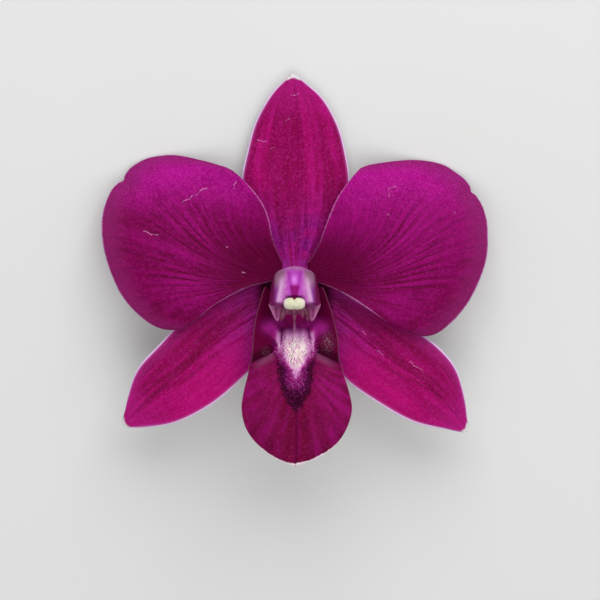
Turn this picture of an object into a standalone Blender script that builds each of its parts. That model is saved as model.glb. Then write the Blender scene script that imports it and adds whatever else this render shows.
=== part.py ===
"""Dendrobium orchid bloom, picked with its own pedicel and lying face up.

Lengths are in millimetres in the tables below, and MM turns them into metres. The bloom is modelled in
its own frame, seen from the front: +X to the viewer's right, +Y towards the dorsal sepal, +Z towards the
viewer, with the origin at the root of the column. The empty named bloom then lays it down on both petal
shoulders and the end of the pedicel, with +Z up and the middle of its outer box at the origin.
"""

import math

import bmesh
import bpy
import numpy as np
from mathutils import Euler, Matrix, Vector

MM = 0.001

# Thickness of the blades
TEPAL_THICKNESS = 0.75
LIP_THICKNESS = 0.75
WING_THICKNESS = 0.8

# How the bloom lies: it leans back until both petal shoulders and the end of the pedicel touch the surface
LEAN_BACK = math.radians(13.65)
ROLL = math.radians(0.284)
REST_SHIFT = (0.055, -0.603, 9.584)

# Rows along and columns across each blade
SEPAL_GRID = (15, 13)
PETAL_GRID = (17, 21)
LIP_GRID = (33, 17)
COLUMN_GRID = (11, 25)

# Dorsal sepal: outline from its base up each side, and the short row at its tip
DORSAL_LEFT = [(-3.4, 1.7), (-6.4, 6.0), (-8.8, 11.0), (-9.7, 16.0), (-8.7, 21.5), (-7.1, 27.0),
               (-4.2, 32.0), (-1.5, 34.8)]
DORSAL_RIGHT = [(3.4, 1.7), (6.6, 6.0), (9.0, 11.0), (9.9, 16.2), (9.2, 21.3), (7.8, 26.3),
                (4.9, 31.3), (1.1, 34.8)]
DORSAL_TIP = [(-1.5, 34.8), (-0.4, 35.5), (1.1, 34.8)]
DORSAL_BASE_Z = -1.75
DORSAL_RISE = 2.4
DORSAL_ROLLED_EDGE = 0.6

# Left petal: upper and lower side edges from the claw, and the margin from one to the other
PETAL_LEFT_UPPER = [(-2.95, 1.5), (-3.9, 5.4), (-5.0, 10.0), (-7.1, 13.8), (-11.4, 17.9)]
PETAL_LEFT_LOWER = [(-2.95, -1.7), (-5.4, -2.2), (-8.0, -2.9), (-14.1, -6.0), (-17.2, -8.3), (-20.6, -10.3)]
PETAL_LEFT_MARGIN = [(-11.4, 17.9), (-15.4, 19.5), (-21.5, 20.8), (-26.4, 20.5), (-30.0, 18.6), (-31.3, 16.5),
                     (-33.3, 14.8), (-35.0, 9.1), (-34.4, 3.0), (-31.9, -3.6), (-28.6, -7.8), (-24.6, -10.4),
                     (-20.6, -10.3)]

# Right petal, which is a little lower and fuller than the left
PETAL_RIGHT_UPPER = [(2.95, 1.5), (4.3, 4.6), (5.4, 7.6), (6.7, 11.0), (8.3, 14.1), (11.9, 18.3)]
PETAL_RIGHT_LOWER = [(2.95, -1.7), (6.2, -3.0), (8.5, -4.2), (11.2, -5.8), (16.0, -8.8), (20.3, -11.0)]
PETAL_RIGHT_MARGIN = [(11.9, 18.3), (15.7, 19.5), (21.7, 20.1), (26.6, 19.4), (30.6, 17.0), (32.1, 14.3),
                      (33.8, 12.5), (34.9, 7.4), (34.5, 1.5), (31.7, -5.2), (28.0, -9.7), (24.4, -11.8),
                      (20.3, -11.0)]

# Depth of the petals: they rise from the claw and fall back at the margin, most at the upper shoulder.
# The place and spread of the shoulder count across the petal, from -1 at its upper edge to 1 at its lower.
PETAL_BASE_Z = -0.6
PETAL_RISE = 3.4
PETAL_MARGIN_DROP = 1.9
PETAL_SHOULDER_DROP = 5.9
PETAL_SHOULDER_AT = -0.45
PETAL_SHOULDER_SPREAD = 0.45
PETAL_CLAW_CUP = 0.5
PETAL_RIPPLE = 0.25
PETAL_RIPPLE_WAVES = 3.5

# Lateral sepals: the base along the side of the mentum, the edges from there, and the short row at the tip
LATERAL_LEFT_BASE = [(-2.7, -1.3), (-3.4, -5.5), (-3.1, -9.6)]
LATERAL_LEFT_UPPER = [(-2.7, -1.3), (-8.0, -1.9), (-15.5, -5.2), (-20.5, -9.2), (-24.6, -13.4), (-28.6, -17.9),
                      (-30.4, -22.8), (-31.3, -27.2)]
LATERAL_LEFT_LOWER = [(-3.1, -9.6), (-5.3, -15.0), (-9.4, -19.5), (-15.0, -24.3), (-21.7, -27.7),
                      (-28.4, -28.7), (-30.7, -28.4)]
LATERAL_LEFT_TIP = [(-31.3, -27.2), (-31.5, -28.1), (-30.7, -28.4)]
LATERAL_RIGHT_BASE = [(2.7, -1.3), (3.4, -5.5), (3.1, -9.6)]
LATERAL_RIGHT_UPPER = [(2.7, -1.3), (8.5, -2.2), (15.5, -6.0), (21.0, -10.2), (25.7, -13.6), (29.1, -17.6),
                       (30.8, -23.0), (31.4, -28.3)]
LATERAL_RIGHT_LOWER = [(3.1, -9.6), (5.4, -15.3), (9.2, -19.9), (14.1, -23.5), (21.2, -27.5), (28.2, -29.1),
                       (30.7, -29.4)]
LATERAL_RIGHT_TIP = [(31.4, -28.3), (31.5, -29.3), (30.7, -29.4)]
LATERAL_BASE_Z = -2.8
LATERAL_BULGE = 1.7
LATERAL_TIP_DROP = 1.3
LATERAL_CHIN_DROP = 4.2
LATERAL_KEEL = 0.5

# Lip: each row gives the middle (y, z), the fold (x, y, z) on each side, and the edge (left x, right x, y, z)
LIP_ROWS = [
    ((-9.7, -5.1), (0.8, -9.6, -5.1), (-1.5, 1.5, -9.4, -5.0)),
    ((-10.3, -3.2), (1.6, -9.8, -3.1), (-3.1, 3.1, -7.4, -2.3)),
    ((-10.8, -1.2), (2.6, -10.0, -1.2), (-4.6, 4.5, -3.9, -0.5)),
    ((-11.3, 0.6), (3.2, -10.7, 0.6), (-6.0, 5.8, -5.6, 2.2)),
    ((-12.5, 2.2), (3.6, -11.9, 2.0), (-7.1, 7.1, -9.2, 4.4)),
    ((-14.4, 3.6), (4.1, -13.8, 3.0), (-7.7, 7.9, -13.2, 5.9)),
    ((-16.4, 4.4), (4.5, -15.7, 3.1), (-8.2, 8.3, -16.2, 5.4)),
    ((-18.8, 5.0), (4.9, -18.6, 5.0), (-8.5, 8.8, -18.8, 3.9)),
    ((-21.6, 5.4), (5.6, -21.8, 5.3), (-9.3, 9.8, -22.1, 4.2)),
    ((-24.8, 5.6), (5.8, -25.0, 5.3), (-9.65, 10.3, -25.1, 4.0)),
    ((-28.2, 5.3), (5.2, -28.2, 5.0), (-8.9, 9.4, -28.4, 3.6)),
    ((-31.6, 4.7), (3.9, -31.4, 4.4), (-6.9, 7.5, -31.3, 3.2)),
    ((-34.1, 4.2), (2.2, -33.7, 4.1), (-4.1, 4.5, -33.6, 3.4)),
    ((-35.4, 3.9), (0.6, -35.1, 3.9), (-1.1, 1.5, -34.9, 3.8)),
]

# Crest on the lip: a raised pale ridge from the throat to a point
CREST_TOP_Y = -10.6
CREST_POINT_Y = -20.0
CREST_HALF_WIDTH = 3.2
CREST_HEIGHT = 0.9

# Column: each row gives the place of its axis (y, z), half width, height above and depth below the axis, and
# how far its underside is hollowed
COLUMN_ROWS = [
    (-1.0, -2.1, 2.3, 2.2, 2.8, 0.6),
    (-1.0, 0.0, 2.5, 2.0, 2.6, 0.6),
    (-1.2, 2.4, 3.1, 1.95, 2.4, 1.0),
    (-2.3, 4.8, 3.6, 1.9, 2.3, 1.8),
    (-4.0, 6.6, 3.75, 1.8, 2.2, 2.5),
    (-5.5, 7.75, 3.7, 1.6, 2.1, 2.8),
]
COLUMN_SWEEP = math.radians(135.0)
COLUMN_TOOTH = 3.1
COLUMN_TOOTH_AT = math.radians(120.0)
COLUMN_TOOTH_SPREAD = math.radians(13.0)

# Anther cap: two lobes side by side on the tip of the column
ANTHER_CENTRE = (-0.1, -6.05, 9.3)
ANTHER_RADII = (2.05, 1.05, 1.1)
ANTHER_LEAN = math.radians(-35.0)
ANTHER_NOTCH = 0.3

# Mentum: the chin and its blunt spur, as centres (y, z) with half widths across and through
MENTUM_ROWS = [
    (-2.9, -3.1, 2.2, 1.4),
    (-3.6, -4.3, 2.5, 1.8),
    (-5.8, -5.8, 2.7, 2.1),
    (-8.4, -7.2, 2.5, 2.1),
    (-10.2, -8.2, 1.9, 1.8),
    (-11.5, -9.0, 1.35, 1.35),
    (-13.0, -9.9, 1.2, 1.2),
    (-14.3, -10.7, 1.05, 1.05),
    (-14.9, -11.1, 0.7, 0.7),
    (-15.1, -11.2, 0.25, 0.25),
]

# Pedicel with the ovary at its upper end: centres and radii down to the cut end
PEDICEL_ROWS = [
    ((0.0, 0.55, -2.65), 1.4),
    ((0.1, 0.7, -4.4), 1.6),
    ((0.9, 0.2, -6.4), 1.65),
    ((2.3, -2.2, -7.8), 1.6),
    ((3.5, -6.0, -9.0), 1.5),
    ((4.3, -12.0, -10.8), 1.35),
    ((4.8, -20.0, -13.1), 1.25),
    ((5.0, -28.0, -15.3), 1.3),
]
TUBE_SIDES = 16
TUBE_RINGS = 22


def smooth_through(points, count, steps=24):
    """Return count points, evenly spaced along a smooth curve through the given ones."""
    p = np.array(points, float)
    p = np.vstack([2 * p[0] - p[1], p, 2 * p[-1] - p[-2]])
    t = np.arange(steps)[:, None] / steps
    runs = []
    for a, b, c, d in zip(p[:-3], p[1:-2], p[2:-1], p[3:]):
        runs.append(0.5 * (2 * b + (c - a) * t + (2 * a - 5 * b + 4 * c - d) * t**2
                           + (3 * b - a - 3 * c + d) * t**3))
    curve = np.vstack(runs + [p[-2:-1]])
    length = np.concatenate([[0], np.cumsum(np.linalg.norm(np.diff(curve, axis=0), axis=1))])
    wanted = np.linspace(0, length[-1], count)
    return np.stack([np.interp(wanted, length, column) for column in curve.T], axis=1)


def smooth_rows(rows, count):
    """Return count rows, spread smoothly through the given ones, whatever each row holds."""
    table = np.array(rows, float)
    p = np.vstack([2 * table[0] - table[1], table, 2 * table[-1] - table[-2]])
    out = []
    for place in np.linspace(0, len(table) - 1, count):
        i = min(int(place), len(table) - 2)
        t = place - i
        a, b, c, d = p[i:i + 4]
        out.append(0.5 * (2 * b + (c - a) * t + (2 * a - 5 * b + 4 * c - d) * t**2
                          + (3 * b - a - 3 * c + d) * t**3))
    return np.array(out)


def fill_outline(base, tip, left, right, grid):
    """Return a grid of points inside four edges: base and tip run across, left and right run along."""
    rows, columns = grid
    base, tip = smooth_through(base, columns), smooth_through(tip, columns)
    left, right = smooth_through(left, rows), smooth_through(right, rows)
    u = np.linspace(0, 1, columns)[None, :, None]
    v = np.linspace(0, 1, rows)[:, None, None]
    along = (1 - v) * base[None] + v * tip[None]
    across = (1 - u) * left[:, None] + u * right[:, None]
    corners = ((1 - u) * (1 - v) * base[0] + u * (1 - v) * base[-1]
               + (1 - u) * v * tip[0] + u * v * tip[-1])
    return along + across - corners


def grid_normals(points):
    """Return the unit normal at each point of a grid, on the side of +Z."""
    across = np.gradient(points, axis=1)
    along = np.gradient(points, axis=0)
    normal = np.cross(across, along)
    normal /= np.linalg.norm(normal, axis=2, keepdims=True)
    return normal * np.sign(normal[..., 2:3] + 1e-9)


def material(name, colour, roughness):
    """Return a plain plant-tissue material."""
    made = bpy.data.materials.new(name)
    made.use_nodes = True
    shader = made.node_tree.nodes["Principled BSDF"]
    shader.inputs["Base Color"].default_value = (*colour, 1.0)
    shader.inputs["Roughness"].default_value = roughness
    shader.inputs["Metallic"].default_value = 0.0
    return made


def add_object(name, vertices, faces, finish, bloom):
    """Make an object with outward faces, in the bloom's frame."""
    mesh = bpy.data.meshes.new(name)
    mesh.from_pydata([Vector(v) * MM for v in vertices], [], faces)
    shape = bmesh.new()
    shape.from_mesh(mesh)
    bmesh.ops.recalc_face_normals(shape, faces=shape.faces)
    shape.to_mesh(mesh)
    shape.free()
    mesh.shade_smooth()
    mesh.materials.append(finish)
    made = bpy.data.objects.new(name, mesh)
    bpy.context.collection.objects.link(made)
    made.parent = bloom
    return made


def add_sheet(name, front, back, finish, bloom):
    """Make a closed blade from two grids of points, split into triangles alike on both faces."""
    rows, columns = front.shape[:2]
    vertices = np.concatenate([front.reshape(-1, 3), back.reshape(-1, 3)])
    behind = rows * columns
    faces = []
    for r in range(rows - 1):
        for c in range(columns - 1):
            a = r * columns + c
            b, d, e = a + 1, a + columns, a + columns + 1
            faces += [(a, b, e), (a, e, d)]
            faces += [(a + behind, e + behind, b + behind), (a + behind, d + behind, e + behind)]
    top = [c for c in range(columns)]
    right = [r * columns + columns - 1 for r in range(1, rows)]
    bottom = [(rows - 1) * columns + c for c in range(columns - 2, -1, -1)]
    left = [r * columns for r in range(rows - 2, 0, -1)]
    rim = top + right + bottom + left
    for a, b in zip(rim, rim[1:] + rim[:1]):
        faces += [(b, a, a + behind), (b, a + behind, b + behind)]
    return add_object(name, vertices, faces, finish, bloom)


def add_tube(name, centres, across, through, finish, bloom):
    """Make a closed tube of oval rings along its centres, with flat ends."""
    centres = np.array(centres)
    along = np.gradient(centres, axis=0)
    along /= np.linalg.norm(along, axis=1, keepdims=True)
    side = np.array([(1.0, 0.0, 0.0)]) - along * along[:, :1]
    side /= np.linalg.norm(side, axis=1, keepdims=True)
    up = np.cross(side, along)
    angles = np.linspace(0, 2 * math.pi, TUBE_SIDES, endpoint=False)
    vertices = []
    for centre, s, n, a, b in zip(centres, side, up, across, through):
        vertices += [centre + s * a * math.cos(t) + n * b * math.sin(t) for t in angles]
    faces = []
    for r in range(len(centres) - 1):
        for c in range(TUBE_SIDES):
            a, b = r * TUBE_SIDES + c, r * TUBE_SIDES + (c + 1) % TUBE_SIDES
            faces += [(a, b, b + TUBE_SIDES), (a, b + TUBE_SIDES, a + TUBE_SIDES)]
    for ring, centre in ((0, centres[0]), (len(centres) - 1, centres[-1])):
        vertices.append(centre)
        hub = len(vertices) - 1
        start = ring * TUBE_SIDES
        faces += [(hub, start + c, start + (c + 1) % TUBE_SIDES) for c in range(TUBE_SIDES)]
    return add_object(name, vertices, faces, finish, bloom)


def blade(name, outline, depth, finish, bloom, thickness=TEPAL_THICKNESS):
    """Make a petal or sepal: its outline filled, given its depth, and thickened."""
    rows, columns = outline.shape[:2]
    u = np.linspace(-1, 1, columns)[None, :]
    v = np.linspace(0, 1, rows)[:, None]
    middle = np.dstack([outline, depth(u, v)])
    half = grid_normals(middle) * thickness / 2
    return add_sheet(name, middle + half, middle - half, finish, bloom)


def dorsal_depth(u, v):
    """The dorsal sepal leans a little forward, with its edges rolled back."""
    return DORSAL_BASE_Z + DORSAL_RISE * v**1.3 - DORSAL_ROLLED_EDGE * u**2 * np.sin(math.pi * v)


def petal_depth(u, v):
    """u runs from the upper edge to the lower one, v from the claw to the margin."""
    shoulder = np.exp(-((u - PETAL_SHOULDER_AT) / PETAL_SHOULDER_SPREAD) ** 2)
    drop = PETAL_MARGIN_DROP + PETAL_SHOULDER_DROP * shoulder
    ripple = PETAL_RIPPLE * np.sin(math.pi * PETAL_RIPPLE_WAVES * u) * v**6
    return (PETAL_BASE_Z + PETAL_RISE * v * (2 - v) - drop * v**3
            + PETAL_CLAW_CUP * u**2 * (1 - v) * v * 4 + ripple)


def lateral_depth(u, v):
    """u runs from the upper edge to the lower one, which joins the chin; a keel runs along the middle."""
    bulge = LATERAL_BULGE * np.sin(math.pi * v)
    chin = LATERAL_CHIN_DROP * (u + 1) / 2 * (1 - v) ** 3
    keel = LATERAL_KEEL * np.abs(u) * np.sin(math.pi * v)
    return LATERAL_BASE_Z + bulge - LATERAL_TIP_DROP * v**2 - chin + keel


def make_tepals(bloom):
    """The dorsal sepal, the two petals and the two lateral sepals."""
    sepal = material("sepal_tissue", (0.26, 0.012, 0.10), 0.55)
    petal = material("petal_tissue", (0.23, 0.007, 0.11), 0.55)
    base = [DORSAL_LEFT[0], DORSAL_RIGHT[0]]
    outline = fill_outline(base, DORSAL_TIP, DORSAL_LEFT, DORSAL_RIGHT, SEPAL_GRID)
    blade("dorsal_sepal", outline, dorsal_depth, sepal, bloom)
    for name, upper, lower, margin in (
            ("petal_left", PETAL_LEFT_UPPER, PETAL_LEFT_LOWER, PETAL_LEFT_MARGIN),
            ("petal_right", PETAL_RIGHT_UPPER, PETAL_RIGHT_LOWER, PETAL_RIGHT_MARGIN)):
        outline = fill_outline([upper[0], lower[0]], margin, upper, lower, PETAL_GRID)
        blade(name, outline, petal_depth, petal, bloom)
    for name, base, upper, lower, tip in (
            ("lateral_sepal_left", LATERAL_LEFT_BASE, LATERAL_LEFT_UPPER, LATERAL_LEFT_LOWER, LATERAL_LEFT_TIP),
            ("lateral_sepal_right", LATERAL_RIGHT_BASE, LATERAL_RIGHT_UPPER, LATERAL_RIGHT_LOWER,
             LATERAL_RIGHT_TIP)):
        outline = fill_outline(base, tip, upper, lower, SEPAL_GRID)
        blade(name, outline, lateral_depth, sepal, bloom)


def make_lip(bloom):
    """The lip in one piece: claw, erect side lobes, disc with its crest, and middle lobe."""
    finish = material("lip_tissue", (0.15, 0.006, 0.05), 0.6)
    net = []
    for (mid_y, mid_z), (fold_x, fold_y, fold_z), (left_x, right_x, edge_y, edge_z) in LIP_ROWS:
        net.append([(left_x, edge_y, edge_z), (-fold_x, fold_y, fold_z), (0, mid_y, mid_z),
                    (fold_x, fold_y, fold_z), (right_x, edge_y, edge_z)])
    rows, columns = LIP_GRID
    net = smooth_rows(np.array(net).reshape(len(net), -1), rows).reshape(rows, 5, 3)
    middle = np.array([smooth_through(row, columns) for row in net])
    normal = grid_normals(middle)
    crest = crest_height(middle[..., 0], middle[..., 1])[..., None]
    front = middle + normal * (LIP_THICKNESS / 2 + crest)
    add_sheet("lip", front, middle - normal * LIP_THICKNESS / 2, finish, bloom)


def crest_height(x, y):
    """The crest is widest at the throat and runs out to a point on the middle lobe."""
    along = np.clip((y - CREST_POINT_Y) / (CREST_TOP_Y - CREST_POINT_Y), 0, 1)
    width = CREST_HALF_WIDTH * np.sqrt(along) + 1e-6
    across = np.clip(1 - (x / width) ** 2, 0, 1)
    return CREST_HEIGHT * across * np.sin(math.pi * np.clip(along, 0, 1)) ** 0.5


def make_column(bloom):
    """The column: solid at its root, hollowed under its tip, with a wing and a tooth on each side."""
    finish = material("column_tissue", (0.36, 0.05, 0.26), 0.45)
    rows, columns = COLUMN_GRID
    table = smooth_rows(COLUMN_ROWS, rows)
    axis = table[:, :2]
    forward = np.gradient(axis, axis=0)
    forward[0] = (0.0, 1.0)
    forward /= np.linalg.norm(forward, axis=1, keepdims=True)
    turn = np.linspace(-COLUMN_SWEEP, COLUMN_SWEEP, columns)
    share = turn / COLUMN_SWEEP
    tooth = COLUMN_TOOTH * np.exp(-((np.abs(turn) - COLUMN_TOOTH_AT) / COLUMN_TOOTH_SPREAD) ** 2)
    outer = np.zeros((rows, columns, 3))
    inner = np.zeros((rows, columns, 3))
    for r, (y, z, half_width, height, depth, hollow) in enumerate(table):
        out_y, out_z = forward[r][1], -forward[r][0]
        reach = tooth * (r / (rows - 1)) ** 6
        wing = depth / -math.cos(COLUMN_SWEEP)
        lift = np.where(np.abs(turn) < math.pi / 2, height, wing) * np.cos(turn)
        under = -depth + hollow * (1 - share**2)
        inside = half_width * math.sin(COLUMN_SWEEP) - WING_THICKNESS
        for grid, x, rise in ((outer, half_width * np.sin(turn), lift), (inner, inside * share, under)):
            grid[r, :, 0] = x
            grid[r, :, 1] = y + out_y * rise + forward[r][0] * reach
            grid[r, :, 2] = z + out_z * rise + forward[r][1] * reach
    add_sheet("column", outer, inner, finish, bloom)


def make_anther_cap(bloom):
    """The cap over the pollen: a short bar with a round lobe at each end."""
    finish = material("anther_tissue", (0.72, 0.69, 0.46), 0.5)
    shape = bmesh.new()
    bmesh.ops.create_uvsphere(shape, u_segments=20, v_segments=12, radius=1.0)
    bmesh.ops.rotate(shape, verts=shape.verts, matrix=Matrix.Rotation(math.pi / 2, 3, "Y"))
    lean = Matrix.Rotation(ANTHER_LEAN, 3, "X")
    for vertex in shape.verts:
        waist = 1 - ANTHER_NOTCH * math.exp(-((vertex.co.x / 0.35) ** 2))
        squared = Vector((vertex.co.x, vertex.co.y * waist, vertex.co.z * waist))
        sized = Vector(a * b for a, b in zip(squared, ANTHER_RADII))
        vertex.co = Vector(ANTHER_CENTRE) + lean @ sized
    bmesh.ops.triangulate(shape, faces=shape.faces)
    vertices = [v.co.copy() for v in shape.verts]
    faces = [tuple(v.index for v in f.verts) for f in shape.faces]
    shape.free()
    add_object("anther_cap", vertices, faces, finish, bloom)


def make_mentum(bloom):
    """The chin and its blunt spur behind the lip."""
    finish = material("mentum_tissue", (0.62, 0.70, 0.62), 0.5)
    table = smooth_rows(MENTUM_ROWS, TUBE_RINGS)
    centres = np.column_stack([np.zeros(len(table)), table[:, :2]])
    add_tube("mentum", centres, table[:, 2], table[:, 3], finish, bloom)


def make_pedicel(bloom):
    """The ovary and the pedicel, which bends down beside the spur and ends where it was cut."""
    finish = material("pedicel_tissue", (0.60, 0.70, 0.45), 0.5)
    table = smooth_rows([(*centre, radius) for centre, radius in PEDICEL_ROWS], TUBE_RINGS)
    add_tube("pedicel", table[:, :3], table[:, 3], table[:, 3], finish, bloom)


def main():
    for old in list(bpy.data.objects):
        bpy.data.objects.remove(old)
    bloom = bpy.data.objects.new("bloom", None)
    bpy.context.collection.objects.link(bloom)
    bloom.rotation_euler = Euler((-LEAN_BACK, ROLL, 0.0))
    bloom.location = Vector(REST_SHIFT) * MM
    make_tepals(bloom)
    make_lip(bloom)
    make_column(bloom)
    make_anther_cap(bloom)
    make_mentum(bloom)
    make_pedicel(bloom)
    bpy.context.view_layer.update()


main()
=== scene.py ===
import math

import bpy
import numpy as np
from mathutils import Euler, Matrix, Vector
from mathutils.kdtree import KDTree


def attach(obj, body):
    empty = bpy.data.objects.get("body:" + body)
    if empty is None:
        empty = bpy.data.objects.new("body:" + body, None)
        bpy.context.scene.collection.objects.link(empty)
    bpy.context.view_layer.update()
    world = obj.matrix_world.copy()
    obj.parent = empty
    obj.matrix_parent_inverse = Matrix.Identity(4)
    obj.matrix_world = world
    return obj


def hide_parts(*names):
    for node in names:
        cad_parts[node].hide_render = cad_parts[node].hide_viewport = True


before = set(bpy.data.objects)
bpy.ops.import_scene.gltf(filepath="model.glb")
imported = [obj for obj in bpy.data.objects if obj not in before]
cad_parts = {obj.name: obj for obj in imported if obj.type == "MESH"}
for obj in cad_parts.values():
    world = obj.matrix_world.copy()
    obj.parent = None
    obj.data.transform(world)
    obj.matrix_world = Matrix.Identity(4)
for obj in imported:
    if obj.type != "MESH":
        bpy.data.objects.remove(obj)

# Lengths in the tables are millimetres in the bloom's own frame, as in the part's source: +X to the viewer's
# right, +Y towards the dorsal sepal, +Z towards the viewer, with the origin at the root of the column.
MM = 0.001

# How the bloom lies at rest on the floor
LEAN_BACK = math.radians(13.65)
ROLL = math.radians(0.284)
REST_SHIFT = (0.055, -0.603, 9.584)
BLOOM = (Matrix.Translation(Vector(REST_SHIFT) * MM)
         @ Euler((-LEAN_BACK, ROLL, 0.0)).to_matrix().to_4x4() @ Matrix.Scale(MM, 4))
BLOOM_TURN = BLOOM.to_quaternion().to_matrix().to_4x4()

# Where the camera looks, how far away it is, and the width that its square picture takes in
CAMERA_AIM = (0.9, -5.4, 0.0)
CAMERA_DISTANCE = 600.0
PICTURE_WIDTH = 108.6

# Fine grids: rows along and columns across each blade, or around each tube
SEPAL_GRID = (150, 110)
PETAL_GRID = (130, 220)
LIP_GRID = (200, 150)
COLUMN_GRID = (90, 110)
TUBE_GRID = (120, 64)

BLADE_THICKNESS = 0.55
BLADE_EDGE_RADIUS = 0.8
MIDRIB_WIDTH = 0.05

# Relief of each kind of blade in millimetres, with the lumps of its noises along and across, and its veins
PETAL_RELIEF = {"skew": 3.0, "coarse_cells": (2, 34), "fine_cells": (3, 96), "coarse": 0.08, "fine": 0.03,
                "veins": 25, "vein_depth": 0.13, "fade": 0.6, "swell": 0.18, "groove": 0.0, "crimp": 0.10}
SEPAL_RELIEF = {"skew": 0.0, "coarse_cells": (3, 14), "fine_cells": (5, 34), "coarse": 0.06, "fine": 0.025,
                "veins": 16, "vein_depth": 0.03, "fade": 0.3, "swell": 0.12, "groove": 0.15, "crimp": 0.04}

DORSAL_BASE = [(-2.2, -0.6), (2.2, -0.6)]
DORSAL_LEFT = [(-2.2, -0.6), (-3.4, 1.7), (-6.4, 6.0), (-8.8, 11.0), (-9.7, 16.0), (-8.7, 21.5), (-7.1, 27.0),
               (-4.2, 32.0), (-1.1, 34.9)]
DORSAL_RIGHT = [(2.2, -0.6), (3.4, 1.7), (6.6, 6.0), (9.0, 11.0), (9.9, 16.2), (9.2, 21.3), (7.8, 26.3),
                (4.9, 31.3), (0.5, 34.9)]
DORSAL_TIP = [(-1.1, 34.9), (-0.35, 35.45), (0.5, 34.9)]
DORSAL_BASE_Z = -1.75
DORSAL_RISE = 2.4
DORSAL_ROLLED_EDGE = 0.6

PETAL_LEFT = {
    "upper": [(-2.3, 1.3), (-3.9, 5.4), (-5.0, 10.0), (-7.1, 13.8), (-11.4, 17.9)],
    "lower": [(-2.3, -1.5), (-5.4, -2.2), (-8.0, -2.9), (-14.1, -6.0), (-17.2, -8.3), (-20.6, -10.3)],
    "margin": [(-11.4, 17.9), (-15.4, 19.5), (-21.5, 20.8), (-26.4, 20.5), (-29.6, 19.0), (-31.0, 17.4),
               (-31.3, 16.3), (-32.5, 15.6), (-33.9, 13.6), (-35.0, 9.1), (-34.4, 3.0), (-31.9, -3.6),
               (-28.6, -7.8), (-24.6, -10.4), (-20.6, -10.3)],
}
PETAL_RIGHT = {
    "upper": [(2.3, 1.3), (4.3, 4.6), (5.4, 7.6), (6.7, 11.0), (8.3, 14.1), (11.9, 18.3)],
    "lower": [(2.3, -1.5), (6.2, -3.0), (8.5, -4.2), (11.2, -5.8), (16.0, -8.8), (20.3, -11.0)],
    "margin": [(11.9, 18.3), (15.7, 19.5), (21.7, 20.1), (26.6, 19.4), (30.2, 17.2), (31.8, 15.4),
               (32.1, 14.2), (33.1, 13.3), (34.3, 11.0), (34.9, 7.4), (34.5, 1.5), (31.7, -5.2),
               (28.0, -9.7), (24.4, -11.8), (20.3, -11.0)],
}
PETAL_BASE_Z = -0.6
PETAL_RISE = 3.4
PETAL_MARGIN_DROP = 1.9
PETAL_SHOULDER_DROP = 5.9
PETAL_SHOULDER_AT = -0.45
PETAL_SHOULDER_SPREAD = 0.45
PETAL_CLAW_CUP = 0.5
PETAL_RIPPLE = 0.25
PETAL_RIPPLE_WAVES = 3.5

# Faint pale scratches: both ends (x, y) and how far each wavers
DORSAL_SCRATCHES = [((-4.5, 22.0), (-3.7, 22.3), 0.0), ((-7.1, 23.5), (-5.2, 23.4), 0.12),
                    ((-0.8, 31.8), (0.7, 31.7), -0.16), ((-1.8, 26.7), (-0.9, 27.6), 0.12)]
LATERAL_SCRATCHES = [((20.6, -16.5), (23.7, -18.6), 0.12), ((14.8, -14.4), (16.3, -15.4), 0.1),
                     ((12.3, -10.9), (13.1, -11.8), -0.1)]
LEFT_SCRATCHES = [((-20.4, 12.1), (-18.0, 13.7), 0.16), ((-18.1, 13.5), (-15.9, 15.0), -0.14),
                  ((-27.4, 7.0), (-24.6, 6.1), 0.12), ((-10.9, 14.6), (-10.7, 15.9), 0.1),
                  ((-12.5, 4.3), (-12.1, 4.0), 0.0), ((-9.7, -0.4), (-9.0, -0.6), 0.0)]
RIGHT_SCRATCHES = [((16.6, 14.4), (18.4, 15.4), 0.2), ((16.9, 14.0), (16.9, 13.1), 0.1),
                   ((16.5, 10.2), (17.1, 9.9), 0.0), ((28.5, 10.4), (29.0, 10.3), 0.0)]
SCRATCH_WAVE = 3.1
SCRATCH_FADE = 0.15
SCRATCH_REACH = 0.8

LATERAL_LEFT = {
    "base": [(-2.3, -1.1), (-2.9, -5.5), (-2.6, -9.6)],
    "upper": [(-2.3, -1.1), (-8.0, -1.9), (-15.5, -5.2), (-20.5, -9.2), (-24.6, -13.4), (-28.6, -17.9),
              (-30.4, -22.8), (-31.3, -27.2)],
    "lower": [(-2.6, -9.6), (-5.3, -15.0), (-9.4, -19.5), (-15.0, -24.3), (-21.7, -27.7), (-28.4, -28.7),
              (-30.7, -28.4)],
    "tip": [(-31.3, -27.2), (-31.5, -28.1), (-30.7, -28.4)],
}
LATERAL_RIGHT = {
    "base": [(2.3, -1.1), (2.9, -5.5), (2.6, -9.6)],
    "upper": [(2.3, -1.1), (8.5, -2.2), (15.5, -6.0), (21.0, -10.2), (25.7, -13.6), (29.1, -17.6),
              (30.8, -23.0), (31.4, -28.3)],
    "lower": [(2.6, -9.6), (5.4, -15.3), (9.2, -19.9), (14.1, -23.5), (21.2, -27.5), (28.2, -29.1),
              (30.7, -29.4)],
    "tip": [(31.4, -28.3), (31.5, -29.3), (30.7, -29.4)],
}
LATERAL_BASE_Z = -2.8
LATERAL_BULGE = 1.7
LATERAL_TIP_DROP = 1.3
LATERAL_CHIN_DROP = 4.2
LATERAL_KEEL = 0.5

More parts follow.
